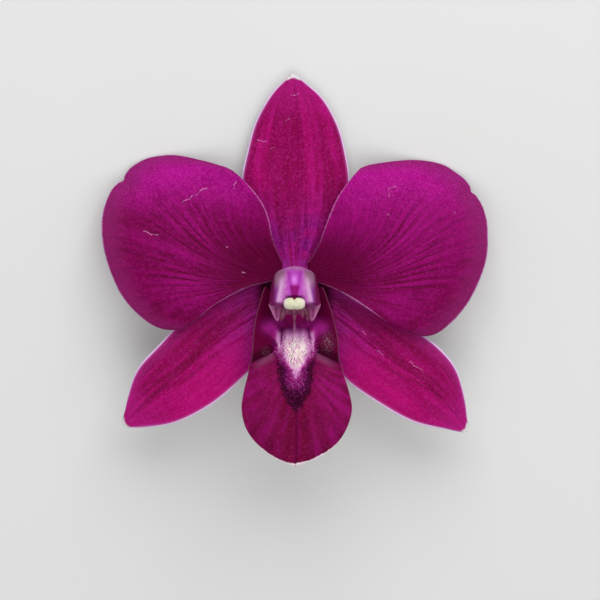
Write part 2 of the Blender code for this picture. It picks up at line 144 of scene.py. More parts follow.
# Lip: middle (y, z), fold (x, y, z) on each side, and edge (left x, right x, y, z)
LIP_ROWS = [
    ((-9.7, -5.1), (0.8, -9.6, -5.1), (-1.5, 1.5, -9.4, -5.0)),
    ((-10.3, -3.2), (1.6, -9.8, -3.1), (-3.1, 3.1, -7.4, -2.3)),
    ((-10.8, -1.2), (2.6, -10.0, -1.2), (-5.2, 4.7, -3.0, -0.5)),
    ((-11.3, 0.6), (3.2, -10.7, 0.6), (-6.3, 6.0, -5.6, 2.2)),
    ((-12.5, 2.2), (3.6, -11.9, 2.0), (-7.2, 7.1, -9.2, 4.4)),
    ((-14.4, 3.6), (4.1, -13.8, 3.0), (-7.7, 7.9, -13.2, 5.9)),
    ((-16.4, 4.4), (4.5, -15.7, 3.1), (-8.2, 8.3, -16.2, 5.4)),
    ((-18.8, 5.0), (4.9, -18.6, 5.0), (-8.5, 8.8, -18.8, 3.9)),
    ((-21.6, 5.4), (5.6, -21.8, 5.3), (-9.3, 9.8, -22.1, 4.2)),
    ((-24.8, 5.6), (5.8, -25.0, 5.3), (-9.65, 10.3, -25.1, 4.0)),
    ((-28.2, 5.3), (5.2, -28.2, 5.0), (-8.9, 9.4, -28.4, 3.6)),
    ((-31.6, 4.7), (3.9, -31.4, 4.4), (-6.9, 7.5, -31.3, 3.2)),
    ((-34.1, 4.2), (2.2, -33.7, 4.1), (-4.1, 4.5, -33.6, 3.4)),
    ((-35.3, 3.9), (0.5, -35.05, 3.9), (-0.9, 1.2, -34.9, 3.8)),
]
CREST_TOP_Y = -10.8
CREST_SHOULDER_Y = -13.4
CREST_POINT_Y = -19.4
CREST_MIDDLE_X = 0.1
CREST_HALF_WIDTH = 3.25
CREST_HEIGHT = 0.9
KEEL_SPACING = 1.5
GAP_X = 2.55
GAP_WIDTH = 0.2
KEEL_X = 3.15

LIP_THICKNESS = 0.4
LIP_RIBS = 17
LIP_EDGE_RADIUS = 0.6

# Where the veins of the lip start, the dark fuzzy patch under the crest, and the fold under each side lobe
VEIN_SOURCE_Y = -16.0
VEIN_REACH = 22.0
FUZZ_TOP_Y = -15.0
FUZZ_END_Y = -25.2
FUZZ_HALF_WIDTH = 3.2
FOLD_X = 3.9
FOLD_Y = -14.6
FOLD_SLOPE = 0.46
FOLD_LIFT = 0.55
PAPILLA_COUNT = 5200
PAPILLA_SIDES = 5
PAPILLA_LENGTH = 0.42
PAPILLA_RADIUS = 0.055

# Rings of a papilla: shares of its length and of its radius
PAPILLA_RINGS = ((-0.15, 1.0), (0.35, 0.9), (0.75, 0.55))

# Column: axis (y, z), half width, height above and depth below the axis, and the hollow of its underside
COLUMN_ROWS = [
    (-1.0, -2.1, 2.4, 1.8, 2.8, 0.6),
    (-1.0, 0.0, 2.9, 1.65, 2.6, 0.6),
    (-1.25, 2.4, 3.7, 1.7, 2.4, 1.0),
    (-2.4, 4.8, 4.15, 1.9, 2.3, 1.8),
    (-4.0, 6.6, 4.45, 1.8, 2.2, 2.5),
    (-5.5, 7.75, 4.7, 1.6, 2.0, 2.8),
]
COLUMN_MIDDLE_X = -0.05
COLUMN_SWEEP = math.radians(135.0)
COLUMN_TOOTH = 1.85
COLUMN_TOOTH_AT = math.radians(135.0)
COLUMN_TOOTH_SPREAD = math.radians(17.0)
TOOTH_EDGE_X = 4.7
TOOTH_EDGE_Y = -6.0
TOOTH_EDGE_SLOPE = 0.48
COLUMN_BROW = 1.4
COLUMN_BROW_FROM = math.radians(24.0)
COLUMN_BROW_TO = math.radians(38.0)
COLUMN_FLATNESS = 0.9
STRIPE_X = 1.9
STRIPE_SLOPE = 0.19
WING_THICKNESS = 0.6
COLUMN_RIM = 0.03
GROOVE_RADII = (2.3, 1.35)

# Stigma plate: rows down and columns across, and each foot's place across, reach down and width
STIGMA_GRID = (30, 110)
STIGMA_HALF_WIDTH = 3.1
STIGMA_TOP_Y = -6.2
STIGMA_ARCH_Y = -7.9
STIGMA_Z = 7.6
STIGMA_THICKNESS = 0.3
STIGMA_FEET = ((-2.35, 1.3, 0.45), (-0.05, 1.2, 0.28), (1.45, 0.6, 0.2), (2.4, 1.3, 0.45))

# Thread: middle (x, y, z) and radius
THREAD_ROWS = [
    (-0.1, -7.6, 7.2, 0.30),
    (-0.1, -8.8, 6.4, 0.26),
    (-0.1, -10.2, 4.6, 0.20),
    (-0.1, -11.4, 2.6, 0.14),
]

# Anther cap: rings and turns of its skin, its middle and half sizes, and the notch between its lobes
ANTHER_GRID = (40, 64)
ANTHER_CENTRE = (-0.1, -6.05, 9.3)
ANTHER_RADII = (1.92, 1.04, 1.1)
ANTHER_LEAN = math.radians(-35.0)
ANTHER_NOTCH = 0.35
ANTHER_NOTCH_WIDTH = 0.13

# Chin: middle (y, z), and its radius across and through
MENTUM_ROWS = [
    (-2.4, -2.4, 2.2, 1.4),
    (-3.6, -4.3, 2.5, 1.8),
    (-5.8, -5.8, 2.7, 2.1),
    (-8.4, -7.2, 2.5, 2.1),
    (-10.2, -8.2, 1.9, 1.8),
    (-11.5, -9.0, 1.35, 1.35),
    (-13.0, -9.9, 1.2, 1.2),
    (-14.3, -10.7, 1.05, 1.05),
    (-14.9, -11.1, 0.7, 0.7),
    (-15.1, -11.2, 0.25, 0.25),
]

# Pedicel: middle and radius
PEDICEL_ROWS = [
    ((0.0, 0.55, -1.9), 1.4),
    ((0.1, 0.7, -4.4), 1.6),
    ((0.9, 0.2, -6.4), 1.65),
    ((2.3, -2.2, -7.8), 1.6),
    ((3.5, -6.0, -9.0), 1.5),
    ((4.3, -12.0, -10.8), 1.35),
    ((4.8, -20.0, -13.1), 1.25),
    ((5.0, -28.0, -15.3), 1.3),
]
PEDICEL_RIBS = 6
PEDICEL_RIB_HEIGHT = 0.03

# Studio, in metres: the floor, and each lamp's name, direction and power
FLOOR_REACH = 3.0
FLOOR_COLOURS = ((0.76, 0.77, 0.76, 1.0), (0.80, 0.81, 0.80, 1.0))
LAMPS = (("key", (0.15, 0.8, 1.0), 3.5), ("fill", (0.1, -0.5, 0.9), 1.3))
LAMP_SIZE = 0.6
LAMP_DISTANCE = 0.7
SKY_STRENGTH = 0.42


def catmull_rom(a, b, c, d, t):
    """Return the point at t, from 0 to 1, between b and c on a smooth curve through four points."""
    return 0.5 * (2 * b + (c - a) * t + (2 * a - 5 * b + 4 * c - d) * t**2 + (3 * b - a - 3 * c + d) * t**3)


def smooth_through(points, places, before=None, after=None, steps=24):
    """Return the points at those places, from 0 to 1, along a smooth curve through the given points. The
    point before them and the one after them say how the curve sets off and ends."""
    p = np.array(points, float)
    first = 2 * p[0] - p[1] if before is None else before
    last = 2 * p[-1] - p[-2] if after is None else after
    p = np.vstack([first, p, last])
    t = np.arange(steps)[:, None] / steps
    runs = [catmull_rom(a, b, c, d, t) for a, b, c, d in zip(p[:-3], p[1:-2], p[2:-1], p[3:])]
    curve = np.vstack(runs + [p[-2:-1]])
    length = np.concatenate([[0], np.cumsum(np.linalg.norm(np.diff(curve, axis=0), axis=1))])
    wanted = np.asarray(places) * length[-1]
    return np.stack([np.interp(wanted, length, column) for column in curve.T], axis=1)


def smooth_rows(rows, places):
    """Return rows at those places, from 0 to 1, spread smoothly through the given ones."""
    table = np.array(rows, float)
    p = np.vstack([2 * table[0] - table[1], table, 2 * table[-1] - table[-2]])
    out = []
    for place in np.asarray(places) * (len(table) - 1):
        i = min(int(place), len(table) - 2)
        out.append(catmull_rom(*p[i:i + 4], place - i))
    return np.array(out)


def spaced(count, pull=0.12):
    """Return count places from 0 to 1, closer together near both ends."""
    t = np.linspace(0, 1, count)
    return t - pull * np.sin(2 * math.pi * t)


def fill_outline(base, tip, left, right, grid, round_tip=False):
    """Return the points inside four edges, with how far across, -1 to 1, and along, 0 to 1, each lies. With a
    round tip, the sides run smoothly on into the tip's edge."""
    v_places, u_places = spaced(grid[0]), spaced(grid[1])
    ends = (left[-2], right[-2], tip[1], tip[-2]) if round_tip else (None,) * 4
    base = smooth_through(base, u_places)
    tip = smooth_through(tip, u_places, ends[0], ends[1])
    left = smooth_through(left, v_places, None, ends[2])
    right = smooth_through(right, v_places, None, ends[3])
    u = u_places[None, :, None]
    v = v_places[:, None, None]
    along = (1 - v) * base[None] + v * tip[None]
    across = (1 - u) * left[:, None] + u * right[:, None]
    corners = ((1 - u) * (1 - v) * base[0] + u * (1 - v) * base[-1]
               + (1 - u) * v * tip[0] + u * v * tip[-1])
    flat = along + across - corners
    return flat, 2 * u_places[None, :] - 1, v_places[:, None]


def spline_shares(places, cells):
    """Return the first lattice point and the four cubic B-spline shares of each place from 0 to 1."""
    x = np.clip(places * cells, 0, cells - 1e-9)
    first = x.astype(int)
    f = x - first
    shares = ((1 - f)**3, 3 * f**3 - 6 * f**2 + 4, -3 * f**3 + 3 * f**2 + 3 * f + 1, f**3)
    return first, [share / 6 for share in shares]


def soft_noise(along, across, cells, seed):
    """Return smooth noise, about -1 to 1, at places from 0 to 1 both ways, with cells lumps each way."""
    along, across = np.broadcast_arrays(along, across)
    lattice = np.random.default_rng(seed).uniform(-1.6, 1.6, (cells[0] + 3, cells[1] + 3))
    row, row_shares = spline_shares(along, cells[0])
    column, column_shares = spline_shares(across, cells[1])
    total = np.zeros(along.shape)
    for i, row_share in enumerate(row_shares):
        for j, column_share in enumerate(column_shares):
            total += lattice[row + i, column + j] * row_share * column_share
    return total


def step(value, low, high):
    """Return 0 at low and 1 at high, with a smooth change between."""
    t = np.clip((value - low) / (high - low), 0, 1)
    return t * t * (3 - 2 * t)


def blob(x, y, centre, radii):
    """Return 1 at the centre of an oval patch, falling softly to 0 outside it."""
    return np.exp(-(((x - centre[0]) / radii[0]) ** 2 + ((y - centre[1]) / radii[1]) ** 2))


def grid_normals(points):
    """Return the unit normal at each point of a grid, on the side of +Z."""
    across = np.gradient(points, axis=1)
    along = np.gradient(points, axis=0)
    normal = np.cross(across, along)
    normal /= np.maximum(np.linalg.norm(normal, axis=2, keepdims=True), 1e-9)
    return normal * np.sign(normal[..., 2:3] + 1e-9)


def edge_distances(points):
    """Return each point's distance along the grid to the nearest side or tip edge, and to the base."""
    across = np.linalg.norm(np.diff(points, axis=1), axis=2)
    along = np.linalg.norm(np.diff(points, axis=0), axis=2)
    left = np.pad(np.cumsum(across, axis=1), ((0, 0), (1, 0)))
    from_base = np.pad(np.cumsum(along, axis=0), ((1, 0), (0, 0)))
    rim = np.minimum(np.minimum(left, left[:, -1:] - left), from_base[-1:] - from_base)
    return rim, from_base


def outline_distances(points):
    """Return each point's shortest distance to the sides and the tip of its grid."""
    outline = np.concatenate([points[:, 0], points[-1], points[::-1, -1]])
    tree = KDTree(len(outline))
    for i, point in enumerate(outline):
        tree.insert(point, i)
    tree.balance()
    nearest = [tree.find(point)[2] for point in points.reshape(-1, 3)]
    return np.array(nearest).reshape(points.shape[:2])


def add_object(name, data):
    """Put an object that holds the data into the scene."""
    new = bpy.data.objects.new(name, data)
    bpy.context.scene.collection.objects.link(new)
    return new


def add_mesh(name, vertices, faces, finish, attributes, uvs=None):
    """Make a piece from points in the bloom's frame, with named numbers at its points."""
    mesh = bpy.data.meshes.new(name)
    placed = np.c_[vertices, np.ones(len(vertices))] @ np.array(BLOOM).T
    mesh.from_pydata(placed[:, :3].tolist(), [], faces)
    for key, values in attributes.items():
        layer = mesh.attributes.new(key, "FLOAT", "POINT")
        layer.data.foreach_set("value", np.asarray(values, np.float32).ravel())
    if uvs is not None:
        layer = mesh.uv_layers.new(name="layout")
        layer.data.foreach_set("uv", np.asarray(uvs, np.float32).ravel())
    mesh.materials.append(finish)
    mesh.shade_smooth()
    return add_object(name, mesh)


def seat(piece, slot, *nodes):
    """Let a piece ride on the scene's only body and stand for its CAD nodes, whose parts are hidden. slot is
    not used.
    """
    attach(piece, "root")
    if nodes:
        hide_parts(*nodes)


def add_blade(name, front, back, finish, attributes):
    """Make a closed blade from two grids that meet at their edges. Attributes hold a value per grid point."""
    rows, columns = front.shape[:2]
    count = rows * columns
    index = np.arange(count).reshape(rows, columns)
    inside = np.zeros((rows, columns), bool)
    inside[1:-1, 1:-1] = True
    behind = index.copy()
    behind[inside] = count + np.arange(inside.sum())
    vertices = np.concatenate([front.reshape(-1, 3), back[inside]])
    quads = lambda g: np.stack([g[:-1, :-1], g[:-1, 1:], g[1:, 1:], g[1:, :-1]], -1).reshape(-1, 4)
    faces = np.concatenate([quads(index), quads(behind)[:, ::-1]])
    u, v = np.meshgrid(np.linspace(0.01, 0.49, columns), np.linspace(0.01, 0.99, rows))
    corner_u = np.concatenate([quads(u), quads(u)[:, ::-1] + 0.5])
    corner_v = np.concatenate([quads(v), quads(v)[:, ::-1]])
    values = {}
    for key, value in attributes.items():
        value = np.broadcast_to(value, (rows, columns))
        values[key] = np.concatenate([value.ravel(), value[inside]])
    values["behind"] = np.concatenate([np.zeros(count), np.ones(inside.sum())])
    uvs = np.stack([corner_u, corner_v], -1)
    return add_mesh(name, vertices, faces.tolist(), finish, values, uvs)


def thicken(middle, thickness=BLADE_THICKNESS, radius=BLADE_EDGE_RADIUS):
    """Return the two faces of a blade with a round edge."""
    rim, from_base = edge_distances(middle)
    inward = np.clip(np.minimum(rim, from_base) / radius, 0, 1)
    half = thickness / 2 * np.sqrt(1 - (1 - inward)**2)
    offset = grid_normals(middle) * half[..., None]
    return middle + offset, middle - offset


def dorsal_depth(u, v):
    """u runs from the left edge to the right one, v from the base to the tip."""
    return DORSAL_BASE_Z + DORSAL_RISE * v**1.3 - DORSAL_ROLLED_EDGE * u**2 * np.sin(math.pi * v)


def petal_depth(u, v):
    """u runs from the upper edge to the lower one, v from the claw to the margin."""
    shoulder = np.exp(-((u - PETAL_SHOULDER_AT) / PETAL_SHOULDER_SPREAD) ** 2)
    drop = PETAL_MARGIN_DROP + PETAL_SHOULDER_DROP * shoulder
    ripple = PETAL_RIPPLE * np.sin(math.pi * PETAL_RIPPLE_WAVES * u) * v**6
    return (PETAL_BASE_Z + PETAL_RISE * v * (2 - v) - drop * v**3
            + PETAL_CLAW_CUP * u**2 * (1 - v) * v * 4 + ripple)


def lateral_depth(u, v):
    """u runs from the upper edge to the lower one, v from the chin to the tip."""
    bulge = LATERAL_BULGE * np.sin(math.pi * v)
    chin = LATERAL_CHIN_DROP * (u + 1) / 2 * (1 - v) ** 3
    keel = LATERAL_KEEL * np.abs(u) * np.sin(math.pi * v)
    return LATERAL_BASE_Z + bulge - LATERAL_TIP_DROP * v**2 - chin + keel


def scratch_masks(x, y, scratches):
    """Return how far beside the nearest scratch each point lies, and whether it lies within its length."""
    beside, share = np.full(x.shape, 9.0), np.zeros(x.shape)
    for (x0, y0), (x1, y1), bend in scratches:
        length = math.hypot(x1 - x0, y1 - y0)
        forward = ((x - x0) * (x1 - x0) + (y - y0) * (y1 - y0)) / length
        sideways = ((y - y0) * (x1 - x0) - (x - x0) * (y1 - y0)) / length
        wave = np.sin(forward * SCRATCH_WAVE) + 0.6 * np.sin(forward * SCRATCH_WAVE * 2.7 + x0)
        sideways = sideways - bend * wave
        near = (step(forward, -SCRATCH_FADE, SCRATCH_FADE)
                * step(forward, length + SCRATCH_FADE, length - SCRATCH_FADE))
        taken = (near > 0.02) & (np.abs(sideways) < SCRATCH_REACH)
        beside = np.where(taken, sideways, beside)
        share = np.where(taken, near, share)
    return beside, share


def tepal(name, slot, outline, depth, relief, finish, seed, scratches=(), markings_and_light=0.0):
    """Make a petal or sepal with furrows along its veins. The last argument is the share of the marks that
    only the
    right petal and the lateral sepals have: painted light on the right petal's lower middle, and the lateral
    sepals' own markings with painted sheen."""
    flat, u, v = outline
    middle = np.dstack([flat, depth(u, v)])
    rim, _ = edge_distances(middle)
    share = ((u + 1) / 2) ** (1 + relief["skew"] * (1 - v) ** 3)
    coarse = soft_noise(v, share, relief["coarse_cells"], seed)
    fine = soft_noise(v, share, relief["fine_cells"], seed + 1)
    phase = relief["veins"] * share + 0.45 * soft_noise(v, share, (3, 9), seed + 5)
    strength = np.clip(0.62 + 0.7 * soft_noise(v, share, (3, 22), seed + 6), 0.1, 1)
    fade = np.clip(rim / 2.5, 0, 1) * np.clip(v * 6, 0, 1) * (1 - relief["fade"] * v)
    swell = soft_noise(v, (u + 1) / 2, (4, 5), seed + 2) * relief["swell"] * np.clip(v * 3, 0, 1)
    groove = relief["groove"] * np.exp(-(u / MIDRIB_WIDTH)**2) * np.clip(v * 5, 0, 1)
    crimp = soft_noise(v, (u + 1) / 2, (4, 46), seed + 3) * relief["crimp"] * np.clip(1 - rim / 1.8, 0, 1)**2
    sunk = relief["vein_depth"] * strength * (0.5 + 0.5 * np.cos(2 * math.pi * phase)) ** 2
    lift = (coarse * relief["coarse"] + fine * relief["fine"] - sunk) * fade + swell - groove + crimp
    middle = middle + grid_normals(middle) * lift[..., None]
    front, back = thicken(middle)
    x, y = flat[..., 0], flat[..., 1]
    beside, scratch = scratch_masks(x, y, scratches)
    attributes = {"across": u, "along": v, "rim": edge_distances(middle)[0], "beside": beside,
                  "scratch": scratch, "furrow": coarse * 0.65 + fine * 0.35, "markings_and_light": markings_and_light}
    if slot == "petal":
        attributes |= {"vein": 2 * share - 1, "height": y, "phase": phase, "strength": strength}
    else:
        # hollow: painted shadow on the lateral sepals in the gap beside the lip's side lobes
        attributes["hollow"] = step(np.abs(x), 7.6, 5.6) * step(y, -0.5, -1.5) * step(y, -12.0, -8.0)
    seat(add_blade(name, front, back, finish, attributes), slot, name)


def linear(red, green, blue):
    """Return a colour given in sRGB steps of 0 to 255 as the linear colour that shaders take."""
    return tuple(((c / 255 + 0.055) / 1.055) ** 2.4 if c > 10 else c / 255 / 12.92
                 for c in (red, green, blue)) + (1.0,)


class Graph:
    """A short way to write a material's nodes. Most methods return the socket that holds their result.
    A value is a number, a socket or the name of an attribute. A colour is a socket, three sRGB steps of 0 to
    255, or four linear shares."""

    def __init__(self, name):
        self.material = bpy.data.materials.new(name)
        self.material.use_nodes = True
        self.tree = self.material.node_tree
        self.shader = self.tree.nodes["Principled BSDF"]

    def attribute(self, name):
        node = self.tree.nodes.new("ShaderNodeAttribute")
        node.attribute_name = name
        return node.outputs["Fac"]

    def set(self, socket, value):
        if isinstance(value, str):
            value = self.attribute(value)
        if isinstance(value, bpy.types.NodeSocket):
            self.tree.links.new(value, socket)
        else:
            socket.default_value = value

    def math(self, operation, a, b=0.0):
        node = self.tree.nodes.new("ShaderNodeMath")
        node.operation = operation
        self.set(node.inputs[0], a)
        self.set(node.inputs[1], b)
        return node.outputs[0]

    def times(self, first, *others):
        for other in others:
            first = self.math("MULTIPLY", first, other)
        return first

    def span(self, value, low, high, start=0.0, end=1.0):
        """Return start below low, end above high, and a smooth change between."""
        node = self.tree.nodes.new("ShaderNodeMapRange")
        node.interpolation_type = "SMOOTHSTEP"
        for key, number in zip(("Value", "From Min", "From Max", "To Min", "To Max"),
                               (value, low, high, start, end)):
            self.set(node.inputs[key], number)
        return node.outputs["Result"]

    def mix(self, share, first, second):
        node = self.tree.nodes.new("ShaderNodeMix")
        node.data_type = "RGBA"
        self.set(node.inputs[0], share)
        for index, colour in ((6, first), (7, second)):
            steps = isinstance(colour, tuple) and len(colour) == 3
            self.set(node.inputs[index], linear(*colour) if steps else colour)
        return node.outputs[2]

    def layers(self, colour, *marks):
        """Lay marks over a colour, the lowest first. Each is a share and a colour."""
        for share, mark in marks:
            colour = self.mix(share, colour, mark)
        return colour

    def place(self, x, y, z=0.0):
        node = self.tree.nodes.new("ShaderNodeCombineXYZ")
        for socket, value in zip(node.inputs, (x, y, z)):
            self.set(socket, value)
        return node.outputs[0]

    def noise(self, scale, vector=None, detail=3.0, roughness=0.55):
        """Return noise, with scale in lumps per millimetre unless a vector gives its own unit."""
        node = self.tree.nodes.new("ShaderNodeTexNoise")
        if vector is None:
            vector = self.tree.nodes.new("ShaderNodeTexCoord").outputs["Object"]
            scale /= MM
        self.set(node.inputs["Vector"], vector)
        self.set(node.inputs["Scale"], scale)
        self.set(node.inputs["Detail"], detail)
        self.set(node.inputs["Roughness"], roughness)
        return node.outputs["Fac"]

    def streaks(self, across, along, shift=0.0, detail=3.0, roughness=0.55):
        """Return noise drawn out along a blade. Each way is a place and its lumps."""
        place = self.place(self.times(*across), self.times(*along), shift)
        return self.noise(1.0, place, detail, roughness)

    def scratch(self):
        """Return the share of a pale scratch at each point."""
        line = self.span(self.math("ABSOLUTE", "beside"), 0.11, 0.03)
        return self.times(line, "scratch")

    def finish(self, colour, roughness, specular, height=None, depth=0.05):
        """Set the shader. depth is the bump's depth in millimetres."""
        self.set(self.shader.inputs["Base Color"], colour)
        self.set(self.shader.inputs["Roughness"], roughness)
        self.set(self.shader.inputs["Specular IOR Level"], specular)
        if height is not None:
            bump = self.tree.nodes.new("ShaderNodeBump")
            bump.inputs["Strength"].default_value = 1.0
            bump.inputs["Distance"].default_value = depth * MM
            self.set(bump.inputs["Height"], height)
            self.set(self.shader.inputs["Normal"], bump.outputs[0])
        return self.material


class Velvet(Graph):
    """The matt skin of the petals, sepals and lip, with its two noises."""

    def __init__(self, name):
        super().__init__(name)
        self.mottle = self.noise(1.7, None, 2.0, 0.6)
        self.grain = self.noise(4.0, None, 2.0, 0.7)

    def two_sided(self, front, reverse, depth):
        relief = self.math("ADD", self.times(self.mottle, 0.8), self.grain)
        return self.finish(self.mix("behind", front, reverse), 0.5, 0.03, relief, depth)


def petal_material():
    g = Velvet("petal_velvet")
    across, along, vein, rim, height = map(g.attribute, ("across", "along", "vein", "rim", "height"))
    streak = g.streaks((vein, 17.0), (along, 2.4), 0.0, 4.0, 0.6)
    lines = g.streaks((vein, 46.0), (along, 5.0), 3.0)
    blotch = g.span(g.noise(0.28, None, 3.0), 0.38, 0.62)
    # low and high are mixed over the height below: the upper part painted lighter and the lower part darker,
    # as painted light from above
    low = g.mix(blotch, (108, 0, 59), (122, 1, 76))
    high = g.mix(blotch, (158, 5, 120), (176, 14, 138))
    inner = g.span(along, 0.92, 0.55, 0.15, 1.0)
    ribbed = g.times(g.span(height, 17.0, 5.0), g.span(vein, -0.9, -0.3, 0.15, 1.0),
                     g.span(height, -7.0, -1.0, 0.3, 1.0), inner)
    line = g.span(g.math("COSINE", g.times("phase", 2 * math.pi)), -0.2, 0.9)
    root = g.math("SUBTRACT", along, g.times(across, 0.12))
    bright = g.times(g.span(height, 8.0, 15.0, 0.14, 0.42), g.span(along, 0.2, 0.6, 0.3, 1.0))
    pale_rim = g.times(g.span(rim, 0.32, 0.12), g.span(along, 0.2, 0.6, 0.15, 0.75),
                       g.span(g.mottle, 0.3, 0.6, 0.4, 1.0))
    front = g.layers(
        g.mix(g.span(height, 7.5, 19.0), low, high),
        (g.times(g.span(streak, 0.44, 0.62, 0.0, 0.55), inner), (156, 7, 114)),
        # Right petal only: its lower middle painted lighter, as painted light
        (g.times("markings_and_light", g.span(height, -3.0, 7.0, 0.0, 0.30)), (176, 10, 136)),
        # Lighter on the raised ribs and darker along the sunk vein lines: painted light and shade of the
        # furrows
        (g.times(g.span("furrow", 0.08, 0.42), ribbed, 0.75), (152, 8, 110)),
        (g.times(line, "strength", ribbed, 0.95), (88, 0, 38)),
        (g.times(g.span(lines, 0.48, 0.36), g.span(height, 16.0, 4.0, 0.1, 0.5)), (84, 0, 44)),
        (g.span(g.mottle, 0.52, 0.68, 0.0, 0.28), (168, 24, 130)),
        (g.span(g.mottle, 0.48, 0.32, 0.0, 0.26), (88, 0, 46)),
        # Darker towards the claw: the petal's own dark base with painted shade
        (g.span(root, 0.56, 0.16, 0.0, 0.85), (84, 0, 40)),
        # Greyer purple towards the outer margin: painted sheen where the reflexed margin turns away
        (g.span(along, 0.84, 1.0, 0.0, 0.8), (130, 32, 94)),
        # Grain specks over the upper part: the velvet's texture with painted sparkle where the light falls
        (g.times(g.span(g.grain, 0.52, 0.70), bright), (204, 66, 176)),
        (g.times(g.span(g.grain, 0.48, 0.32), bright), (120, 0, 84)),
        (pale_rim, (208, 134, 198)),
        (g.times(g.scratch(), g.span(g.mottle, 0.40, 0.56, 0.15, 0.8)), (210, 140, 190)))
    midrib = g.span(g.math("ABSOLUTE", across), g.span(along, 0.0, 0.6, 0.6, 0.08), 0.01)
    reverse = g.layers(
        g.mix(g.span(streak, 0.35, 0.7), (152, 44, 132), (182, 74, 162)),
        (g.span(lines, 0.50, 0.32, 0.0, 0.4), (140, 36, 122)),
        (g.times(midrib, g.span(along, 1.0, 0.8)), (238, 214, 244)),
        (g.span(rim, 0.35, 0.08), g.mix(g.span(along, 0.3, 0.6), (96, 6, 56), (186, 104, 176))))
    return g.two_sided(front, reverse, 0.06)


def sepal_material():
    g = Velvet("sepal_velvet")
    across, along, rim, lateral = map(g.attribute, ("across", "along", "rim", "markings_and_light"))
    streak = g.streaks((across, 7.0), (along, 3.0), 0.0, 4.0, 0.6)
    lines = g.streaks((across, 22.0), (along, 12.0), 3.0)
    blotch = g.noise(0.45, None, 3.0)
    root = g.mix(lateral, g.mix(g.span(streak, 0.40, 0.62), (104, 4, 86), (148, 24, 136)),
                 g.mix(g.span(streak, 0.36, 0.66), (134, 7, 100), (168, 30, 138)))
    lower = g.times(g.span(across, -0.05, 0.6), g.span(along, 0.14, 0.34), g.span(along, 0.9, 0.6), lateral,
                    0.42)
    wavy = g.math("ADD", across, g.span(streak, 0.3, 0.7, -0.3, 0.2))
    upper = g.times(g.span(wavy, 0.06, -0.22), g.span(wavy, -0.95, -0.45, 0.35, 1.0), lateral,
                    g.span(along, 1.0, 0.75), g.span(streak, 0.36, 0.62, 0.68, 0.22))
    front = g.layers(
        g.mix(g.span(streak, 0.38, 0.64), (144, 1, 78), (165, 6, 102)),
        # Darker purple towards the base: the sepals' own colour, and on the dorsal sepal also painted shade
        # in its cupped base
        (g.span(along, 0.50, 0.16), root),
        (g.span(along, 0.10, 0.03, 0.0, 0.6), (172, 52, 164)),
        (g.span(blotch, 0.45, 0.65, 0.0, 0.5), (170, 6, 104)),
        (g.span(lines, 0.48, 0.68, 0.0, 0.22), (176, 28, 134)),
        # Darker where the furrow noise sinks the surface: painted shade in the furrows
        (g.span("furrow", 0.1, -0.5, 0.0, 0.55), (116, 0, 58)),
        (g.span(g.mottle, 0.52, 0.66, 0.0, 0.32), (186, 30, 138)),
        (g.span(g.mottle, 0.48, 0.34, 0.0, 0.28), (116, 0, 62)),
        (lower, (190, 9, 116)),
        (upper, (114, 4, 58)),
        # Greyish purple near the upper margin of the lateral sepals: painted sheen
        (g.times(g.span(across, -0.55, -0.9), lateral, g.span(along, 0.3, 0.6), 0.4), (160, 44, 124)),
        # Lilac streaks near the base of the lateral sepals: painted sheen
        (g.times(g.span(lines, 0.42, 0.62), lateral, g.span(along, 0.36, 0.12), 0.3), (164, 60, 146)),
        # Painted shadow in the gap between the lateral sepals and the lip's side lobes
        ("hollow", (62, 0, 32)),
        (g.span(along, 0.70, 0.97, 0.0, 0.5), (182, 30, 132)),
        (g.span(g.grain, 0.54, 0.72, 0.0, 0.20), (204, 96, 176)),
        (g.times(g.scratch(), g.span(g.mottle, 0.40, 0.56, 0.15, 0.7)), (214, 132, 196)),
        (g.span(rim, 0.85, 0.30, 0.0, 0.35), (196, 96, 184)),
        (g.span(rim, 0.38, 0.20), (226, 192, 230)),
        (g.span(along, 0.966, 0.985), (226, 222, 228)))
    band = g.span(rim, g.span(along, 0.1, 0.9, 0.5, 1.5), 0.15)
    reverse = g.layers(
        g.mix(g.span(streak, 0.35, 0.65), (226, 230, 224), (244, 245, 242)),
        (g.times(g.span(blotch, 0.40, 0.7), g.span(along, 0.2, 0.9, 0.1, 0.7)), (226, 196, 222)),
        (g.times(band, g.span(along, 0.04, 0.16)), (176, 70, 152)),
        (g.span(rim, 0.34, 0.2), (230, 204, 236)))
    return g.two_sided(front, reverse, 0.05)


